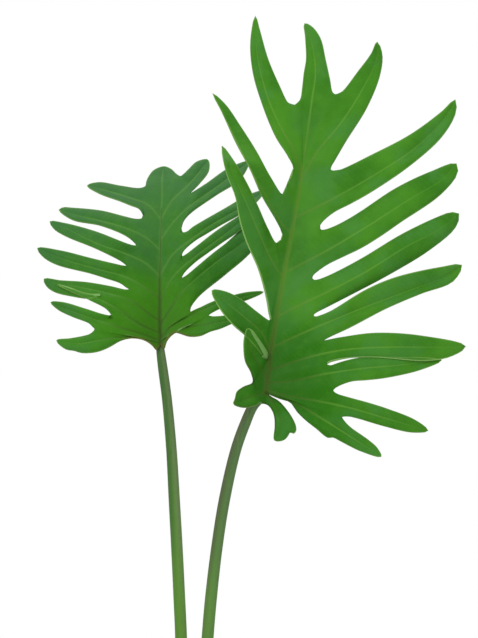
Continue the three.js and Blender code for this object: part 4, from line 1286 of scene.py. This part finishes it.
def midrib_point(line, step):
    """A point of the midrib. The steps are short at the stalk, where the veins crowd together."""
    lengths = lengths_along(line)
    wanted = lengths[-1] * np.minimum(1, np.asarray(step) / MIDRIB_STEPS) ** 2
    return np.stack([np.interp(wanted, lengths, line[:, k]) for k in (0, 1)], axis=-1)


def keep_ahead(edge, spine):
    """The edge, whose first points past the bay are moved ahead of the row that meets the bay."""
    bay = edge[INNER_ROWS]
    row = bay - spine[INNER_ROWS]
    ahead = unit(np.array([-row[1], row[0]]))
    ahead *= np.sign(ahead @ (spine[-1] - spine[INNER_ROWS]))
    moved = edge.copy()
    for step in range(1, BAY_ROWS + 1):
        short = BAY_STEP * step - (edge[INNER_ROWS + step] - bay) @ ahead
        moved[INNER_ROWS + step] += ahead * np.clip(short, 0, BAY_SHIFT)
    return moved


def rolled(margin, spine, beyond, roll):
    """The columns that carry a margin over to the front, and how far forward each point is."""
    width = roll * eased(beyond, 0, ROLL_START) * (1 - ROLL_TAPER * beyond)
    width *= 1 - eased(beyond, ROLL_END, 1)
    ahead = np.gradient(margin, axis=0)
    inward = unit(np.stack([-ahead[:, 1], ahead[:, 0]], axis=1))
    inward *= np.sign(np.sum(inward * (spine - margin), axis=1))[:, None]
    turn = np.linspace(0, math.pi / 2, ROLL_COLUMNS + 1)[1:]
    curled = margin[:, None] + inward[:, None] * (width[:, None] * (1 - np.cos(turn)))[..., None]
    return curled, ROLL_HEIGHT * width[:, None] * np.sin(turn)


def lobe_grid(lobe, midrib, seams, edges):
    """Front-view points of a lobe as [row, column, 2], with what the relief needs for each."""
    near_root, vein_root, far_root = lobe["root"]
    vein = smooth_line([midrib_point(midrib, vein_root), *lobe["vein"], lobe["tip"]])
    middle = (edges[0][0] + edges[1][0]) / 2
    split = max(1, int(np.argmin(np.linalg.norm(vein - middle, axis=1))))
    inner = steps_along(vein[:split + 1], INNER_ROWS, MIDRIB_EASE)
    outer = steps_along(vein[split:], OUTER_ROWS, NOTCH_EASE)
    near = np.vstack([seams[0], edges[0][1:]])
    spine = np.vstack([inner, outer[1:]])
    far = np.vstack([seams[1], edges[1][1:]])
    if not lobe.get("plain"):
        near, far = (keep_ahead(edge, spine) for edge in (near, far))

    near_columns = round(COLUMNS_PER_STEP * (abs(vein_root - near_root) or TOP_COLUMNS))
    far_columns = round(COLUMNS_PER_STEP * (abs(far_root - vein_root) or TOP_COLUMNS))
    side = np.concatenate([np.linspace(-1, 0, near_columns + 1),
                           np.linspace(0, 1, far_columns + 1)[1:]])
    toward = np.abs(side)[None, :, None]
    edge = np.where(side[None, :, None] < 0, near[:, None], far[:, None])
    points = spine[:, None] * (1 - toward) + edge * toward
    steps = np.where(side < 0, vein_root + (vein_root - near_root) * side,
                     vein_root + (far_root - vein_root) * side)
    points[0] = midrib_point(midrib, steps)

    rows = INNER_ROWS + OUTER_ROWS + 1
    beyond = np.maximum(0, np.arange(rows) - INNER_ROWS) / OUTER_ROWS
    half_width = np.linalg.norm(edge - spine[:, None], axis=2)
    forward = np.zeros_like(half_width)
    near_roll, far_roll = lobe.get("roll", (0, 0))
    if near_roll:
        curled, raised = rolled(near, spine, beyond, near_roll)
        points = np.hstack([curled[:, ::-1], points])
        forward = np.hstack([raised[:, ::-1], forward])
        half_width = np.hstack([half_width[:, :1].repeat(ROLL_COLUMNS, axis=1), half_width])
        side = np.concatenate([-np.ones(ROLL_COLUMNS), side])
    if far_roll:
        curled, raised = rolled(far, spine, beyond, far_roll)
        points = np.hstack([points, curled])
        forward = np.hstack([forward, raised])
        half_width = np.hstack([half_width, half_width[:, -1:].repeat(ROLL_COLUMNS, axis=1)])
        side = np.concatenate([side, np.ones(ROLL_COLUMNS)])
    beyond, side = np.meshgrid(beyond, side, indexing="ij")
    return points, beyond, side, half_width, forward, vein


# %% Sheet of a whole blade
OUTLINE_SAMPLES = 24
COARSE = 4               # every fourth point of a line is enough to measure distances from
NO_VEIN = 20             # distance that stands for a plain stretch without a vein
MERGE_STEP = 0.001       # points in one cell of this grid become one
MERGE_SHIFT = 0.000371
NO_RUN = 1e-9


def outline_of(blade):
    """The blade's edge as a fine line, and the index on it of each bay."""
    points = [(0, 0), *blade["heel_start"]]
    marks = [len(blade["heel_start"])]
    for lobe in blade["lobes"]:
        points += [*lobe["near"], lobe["tip"], *lobe["far"], lobe["notch"]]
        marks.append(marks[-1] + len(lobe["near"]) + len(lobe["far"]) + 2)
    points += [*blade["heel_end"], (0, 0)]
    return smooth_line(points, OUTLINE_SAMPLES), [mark * OUTLINE_SAMPLES for mark in marks]


def distance_to(line, points):
    """Distance from each point to the nearest stretch of a line."""
    best = np.full(len(points), np.inf)
    for start, end in zip(line[:-1], line[1:]):
        run = end - start
        share = np.clip(((points - start) @ run) / max(run @ run, NO_RUN), 0, 1)
        best = np.minimum(best, np.linalg.norm(points - start - share[:, None] * run, axis=1))
    return best


def merged(points, kept, quads):
    """Points that lie together become one, which keeps the mean of their numbers.

    Only the third number, the distance from a vein, is the least of theirs."""
    # The shift keeps round coordinates away from the limits of the rounding.
    keys = np.round(points / MERGE_STEP + MERGE_SHIFT / MERGE_STEP).astype(np.int64)
    _, first, same, counts = np.unique(keys, axis=0, return_index=True, return_inverse=True,
                                       return_counts=True)
    same = same.ravel()
    means = np.stack([np.bincount(same, kept[:, k]) / counts for k in range(kept.shape[1])], axis=1)
    np.minimum.at(means[:, 2], same, kept[:, 2])
    faces = []
    for quad in same[quads]:
        corners = [int(corner) for k, corner in enumerate(quad) if corner != quad[k - 1]]
        if len(set(corners)) > 2:
            faces.append(corners)
    return points[first], faces, means


def weave(blade):
    """The sheet's front-view points, its faces, and four numbers that are kept for each point.

    They are its share of the way from bay to tip, its share from vein to margin, its distance
    from the vein and its relief."""
    midrib = smooth_line(blade["midrib"])
    outline, marks = outline_of(blade)
    lobes = blade["lobes"]
    seams = [steps_along(outline[:marks[0] + 1], INNER_ROWS, MIDRIB_EASE)]
    for lobe, mark in zip(lobes[1:], marks[1:-1]):
        seam = np.stack([midrib_point(midrib, lobe["root"][0]), outline[mark]])
        seams.append(steps_along(seam, INNER_ROWS, MIDRIB_EASE))
    seams.append(steps_along(outline[marks[-1]:][::-1], INNER_ROWS, MIDRIB_EASE))

    points = []
    kept = []
    quads = []
    start = 0
    for number, lobe in enumerate(lobes):
        bay, next_bay = marks[number:number + 2]
        tip = bay + (len(lobe["near"]) + 1) * OUTLINE_SAMPLES
        edges = (steps_along(outline[bay:tip + 1], OUTER_ROWS, NOTCH_EASE),
                 steps_along(outline[tip:next_bay + 1][::-1], OUTER_ROWS, NOTCH_EASE))
        grid, beyond, side, half_width, forward, vein = lobe_grid(
            lobe, midrib, seams[number:number + 2], edges)
        rows, columns = grid.shape[:2]
        flat = grid.reshape(-1, 2)
        shape = lobe_shape(lobe, beyond, side, half_width) - forward
        if lobe.get("plain"):
            from_vein = np.full(len(flat), NO_VEIN)
        else:
            from_vein = distance_to(vein[::COARSE], flat)
        points.append(flat)
        kept.append(np.stack([beyond.ravel(), side.ravel(), from_vein, shape.ravel()], axis=1))
        index = start + np.arange(rows * columns).reshape(rows, columns)
        corners = [index[:-1, :-1], index[:-1, 1:], index[1:, 1:], index[1:, :-1]]
        quads.append(np.stack(corners, axis=-1).reshape(-1, 4))
        start += rows * columns
    flat, faces, kept = merged(np.vstack(points), np.vstack(kept), np.vstack(quads))
    return flat, faces, kept, midrib, outline


# %% [markdown]
# ## From sheet to blade
# The sheet gets a front skin, a back skin and a rounded rim. The blade is only half a
# millimetre thick, and its back carries the midrib and the veins as raised ridges, which is
# what holds a real leaf stiff. Offsetting along the normals by hand, rather than with a
# Solidify modifier, lets the thickness follow the ribs.

# %% Directions and rim of the sheet
RIM_BULGE = 0.22


def sheet_normals(points, faces):
    """The direction that the sheet faces at each point, away from its back."""
    normals = np.zeros_like(points)
    for size in (3, 4):
        group = np.array([face for face in faces if len(face) == size])
        if size == 3:
            across = points[group[:, 1]] - points[group[:, 0]]
            other = points[group[:, 2]] - points[group[:, 1]]
        else:
            across = points[group[:, 2]] - points[group[:, 0]]
            other = points[group[:, 3]] - points[group[:, 1]]
        normal = np.cross(across, other)
        for corner in range(size):
            np.add.at(normals, group[:, corner], normal)
    return unit(normals)


def rim_edges(faces):
    """The sheet's free edges, each in the direction its face runs."""
    edges = {(a, b) for face in faces for a, b in zip(face, face[1:] + face[:1])}
    return np.array([(a, b) for a, b in sorted(edges) if (b, a) not in edges])


def rim_of(sheet, faces, normals):
    """The free edges, the points on them, and where the crest of the rounded rim runs."""
    rim = rim_edges(faces)
    outward = np.zeros_like(sheet)
    for a, b in rim:
        aside = np.cross(sheet[b] - sheet[a], normals[a])
        outward[a] += aside
        outward[b] += aside
    on_rim = np.unique(rim)
    return rim, on_rim, sheet[on_rim] + unit(outward[on_rim]) * RIM_BULGE


# %% Sheet in space
RELIEF_FROM = (1.0, 12.0)    # distances from the midrib between which the relief comes in
WAVES_FROM = (4, 30)         # and between which the waves do
WAVE_LENGTH = 26
WAVE_HEIGHT = 1.1
RIPPLE_LENGTH = 9
RIPPLE_HEIGHT = 0.25
RIPPLE_LAYER = 50


def bent_sheet(blade, flat, kept, from_midrib):
    """The sheet's points in space. Each is moved along its own line of sight to its depth."""
    x, z = flat.T
    beyond = kept[:, 0]
    relief = kept[:, 3]
    relief = np.where(beyond > 0, relief, relief * eased(from_midrib, *RELIEF_FROM))
    waves = [noise.noise(Vector((a, b, 0)) / WAVE_LENGTH) for a, b in flat]
    ripples = [noise.noise(Vector((a, b, RIPPLE_LAYER)) / RIPPLE_LENGTH) for a, b in flat]
    uneven = WAVE_HEIGHT * np.array(waves) + RIPPLE_HEIGHT * np.array(ripples)
    depth = blade_depth(blade, x, z)
    depth += relief + eased(from_midrib, *WAVES_FROM) * uneven
    sheet = np.stack([x, depth, z], axis=1) + blade["junction"]
    spread = 1 + (sheet[:, 1] - blade["junction"][1]) * MM / CAMERA_DISTANCE
    for axis, centre in ((0, VIEW_CENTRE[0]), (2, VIEW_CENTRE[1])):
        sheet[:, axis] = centre / MM + (sheet[:, axis] - centre / MM) * spread
    return sheet


# %% Blade as a closed body
LEAF_THICKNESS = 0.55
RIB_RELIEF = 0.45         # how far the midrib stands out in front
BACK_RIB = 1.5            # and behind
BACK_VEIN = 0.55
RIB_SPREAD = 0.8          # in half widths of the midrib
VEIN_SPREAD = 0.8
VEIN_HALF_WIDTH = 0.5
THIN_MARGIN = 2.0         # no ridge reaches full height nearer to the margin than this


def make_blade(name, blade):
    """The closed blade, with the numbers stored on it that the leaf finish reads."""
    flat, faces, kept, midrib, outline = weave(blade)
    beyond, side, from_vein, _ = kept.T
    from_midrib = distance_to(midrib[::COARSE], flat)
    from_margin = distance_to(outline[::COARSE], flat)
    sheet = bent_sheet(blade, flat, kept, from_midrib)
    normals = sheet_normals(sheet, faces)

    rib_z, rib_half = np.array(blade["rib_width"], float).T
    rib_steps = from_midrib / np.interp(flat[:, 1], rib_z, rib_half)
    vein_steps = from_vein / (VEIN_HALF_WIDTH * (1 - 0.5 * beyond))
    rib = np.exp(-(rib_steps / RIB_SPREAD) ** 2)
    vein = np.exp(-(from_vein / VEIN_SPREAD) ** 2) * (1 - beyond)
    thin = eased(from_margin, 0.0, THIN_MARGIN)
    front = sheet + normals * (LEAF_THICKNESS / 2 + thin * rib * RIB_RELIEF)[:, None]
    ridges = thin * (rib * BACK_RIB + vein * BACK_VEIN)
    back = sheet - normals * (LEAF_THICKNESS / 2 + ridges)[:, None]

    rim, on_rim, crest = rim_of(sheet, faces, normals)
    count = len(sheet)
    middle = {int(point): 2 * count + k for k, point in enumerate(on_rim)}
    skin = list(faces)
    skin += [[count + corner for corner in reversed(face)] for face in faces]
    for a, b in rim.tolist():
        skin.append([b, a, middle[a], middle[b]])
        skin.append([middle[b], middle[a], count + a, count + b])
    piece = new_piece(name, np.vstack([front, back, crest]), skin)

    def on_all(values, back_values=None):
        """Values for the front skin, the back skin and the rim."""
        back_values = values if back_values is None else back_values
        return np.concatenate([values, back_values, values[on_rim]])

    store(piece, "rib", on_all(rib_steps))
    store(piece, "vein", on_all(vein_steps))
    store(piece, "margin", on_all(from_margin))
    store(piece, "beyond", on_all(beyond))
    store(piece, "across", on_all(from_vein * np.sign(side)))
    store(piece, "from_midrib", on_all(from_midrib))
    store(piece, "from_heel", on_all(np.hypot(*flat.T)))
    store(piece, "underside", on_all(np.zeros(count), np.ones(count)))
    spans = sheet.max(axis=0) - sheet.min(axis=0)
    print(f"{name}: {spans[0]:.0f} mm wide, {spans[1]:.0f} mm deep, {spans[2]:.0f} mm high")
    return piece


# %% [markdown]
# ## Leaf finish
# The upper side is a leathery mid green in soft patches, richer near the stalk and darker at the
# heel, where it is partly its own deeper green and partly painted shade. Cool grey-green patches,
# and on the low blade a cool top, are a painted sheen. The midrib is olive and gets paler upwards,
# the veins are thin and yellowish, and a fine pale line runs along the margin, partly the leaf's
# own pale edge and partly a painted highlight. The underside is paler. A noise alone would look
# printed on, because the tones of a leaf follow its veins. So the numbers stored while weaving
# tell the finish where each of these lies.

# %% Leaf finish
def leaf_finish(name, colours, sheen_top):
    """The finish of one blade. The last number says how far its upper lobes turn to a cool grey green,
    which is a painted sheen.
    """
    leaf = Finish(name, 0.45, 0.07)
    from_heel = leaf.stored("from_heel")

    # broad patches of green and a richer one near the heel, with cool grey-green patches and, on the low
    # blade, a cool top, both a painted sheen
    green = leaf.mix(leaf.ramp(leaf.noise(26, 3), 0.3, 0.7), colours["dark"], colours["fresh"])
    # the cool grey-green patches are a painted sheen, light reflected off the leaf
    green = leaf.mix(leaf.ramp(leaf.noise(48, 2), 0.45, 0.65, 0, 0.5), green, colours["painted sheen"])
    within = leaf.ramp(leaf.stored("beyond"), 0.0, 0.5, 1, 0.35)
    low = leaf.math("MULTIPLY", leaf.ramp(from_heel, 64, 22, 0, 0.85), within)
    green = leaf.mix(low, green, colours["base"])
    # the cool top of the low blade is a painted sheen as well
    green = leaf.mix(leaf.ramp(from_heel, 55, 105, 0, sheen_top), green, colours["painted sheen"])

    # fine mottling, the darker heel, partly its own deeper green and partly painted shade where blade
    # and stalk meet, the side nerves and the paler underside
    fine = leaf.noise(180, 4)
    green = leaf.mix(leaf.ramp(fine, 0.4, 0.75, 0, 0.18), green, linear(84, 148, 44))
    # the heel is darker, partly its own deeper green and partly painted shade where blade and stalk
    # meet, and free lobes get less of it
    inside = leaf.ramp(leaf.stored("beyond"), 0.0, 0.3, 1, 0.15)
    heel_pigment_and_shade = leaf.math("MULTIPLY", leaf.ramp(from_heel, 45, 5, 0, 0.6), inside)
    green = leaf.mix(heel_pigment_and_shade, green, colours["heel"])
    across = leaf.math("ABSOLUTE", leaf.stored("across"))
    run = leaf.math("ADD", leaf.math("MULTIPLY", across, 0.9), leaf.stored("from_midrib"))
    nerve = leaf.math("SINE", leaf.math("MULTIPLY", run, 2.6))
    green = leaf.mix(leaf.ramp(nerve, 0.2, 1.0, 0, 0.03), green, linear(110, 165, 75))
    green = leaf.mix(leaf.math("MULTIPLY", leaf.stored("underside"), 0.8), green, linear(126, 172, 98))

    # veins, midrib, a pale margin that is partly the leaf's own pale edge and partly a painted
    # highlight, and the rim of the heel, brownish on the low blade
    vein = leaf.ramp(leaf.stored("vein"), 2.1, 0.2)
    fade = leaf.ramp(leaf.stored("beyond"), 0.5, 1.0, 0.55, 0.12)
    away = leaf.ramp(leaf.stored("from_midrib"), 2, 40)
    vein_tone = leaf.mix(away, colours["vein root"], colours["vein"])
    vein_tone = leaf.mix(leaf.ramp(from_heel, 16, 48), colours["rib low"], vein_tone)
    green = leaf.mix(leaf.math("MULTIPLY", vein, fade), green, vein_tone)
    rib = leaf.ramp(leaf.stored("rib"), 1.55, 0.3)
    rib_tone = leaf.mix(leaf.ramp(from_heel, 15, 70), colours["rib low"], colours["rib high"])
    green = leaf.mix(leaf.math("MULTIPLY", rib, 0.8), green, rib_tone)
    # the pale line along the margin is partly the leaf's own pale edge and partly a painted highlight
    # where the edge catches the light
    edge = leaf.ramp(leaf.stored("margin"), 0.55, 0.1)
    lit = leaf.math("MULTIPLY", edge, leaf.ramp(leaf.stored("beyond"), 0.08, 0.4, 0, 0.45))
    green = leaf.mix(lit, green, linear(140, 180, 92))
    near_margin = leaf.ramp(leaf.stored("margin"), 1.4, 0.1)
    heel = leaf.math("MULTIPLY", near_margin, leaf.ramp(from_heel, 32, 14))
    green = leaf.mix(leaf.math("MULTIPLY", heel, 0.55), green, colours["heel rim"])
    leaf.set("Base Color", green)

    height = leaf.math("ADD", leaf.math("MULTIPLY", nerve, 0.06), leaf.math("MULTIPLY", fine, 0.94))
    leaf.bump(height, 0.00025, 0.4)
    return leaf


# in these colours the cool green is a painted sheen, and the heel green is partly the leaf's own deeper
# green and partly painted shade
LOW_COLOURS = {
    "dark": linear(46, 107, 28), "fresh": linear(62, 127, 34), "painted sheen": linear(61, 115, 60),
    "base": linear(62, 130, 14), "heel": linear(56, 108, 20), "heel rim": linear(110, 84, 50),
    "rib low": linear(58, 84, 30), "rib high": linear(84, 124, 56),
    "vein": linear(96, 152, 62), "vein root": linear(88, 138, 60),
}
TALL_COLOURS = {
    "dark": linear(51, 115, 24), "fresh": linear(71, 137, 32), "painted sheen": linear(68, 132, 58),
    "base": linear(34, 106, 0), "heel": linear(48, 102, 28), "heel rim": linear(44, 66, 22),
    "rib low": linear(70, 96, 34), "rib high": linear(92, 134, 44),
    "vein": linear(102, 156, 56), "vein root": linear(92, 128, 46),
}
for name, blade, colours, sheen_top in (("blade_low", LOW_BLADE, LOW_COLOURS, 0.85),
                                       ("blade_tall", TALL_BLADE, TALL_COLOURS, 0)):
    leaf = leaf_finish(name + "_skin", colours, sheen_top)
    finish_piece(make_blade(name, blade), leaf.material, "leaf", name)

# %% [markdown]
# ## Finish
# The visible model must keep the measured size, so both boxes are written down to compare.
# Measuring by eye would miss a millimetre at a leaf tip.

# %% Compare the boxes and finish
visible_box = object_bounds()
for axis, name in enumerate("XYZ"):
    low = (visible_box[0][axis] - cad_box[0][axis]) * 1000
    high = (visible_box[1][axis] - cad_box[1][axis]) * 1000
    print(f"{name}: low end moved {low:.1f} mm, high end {high:.1f} mm")
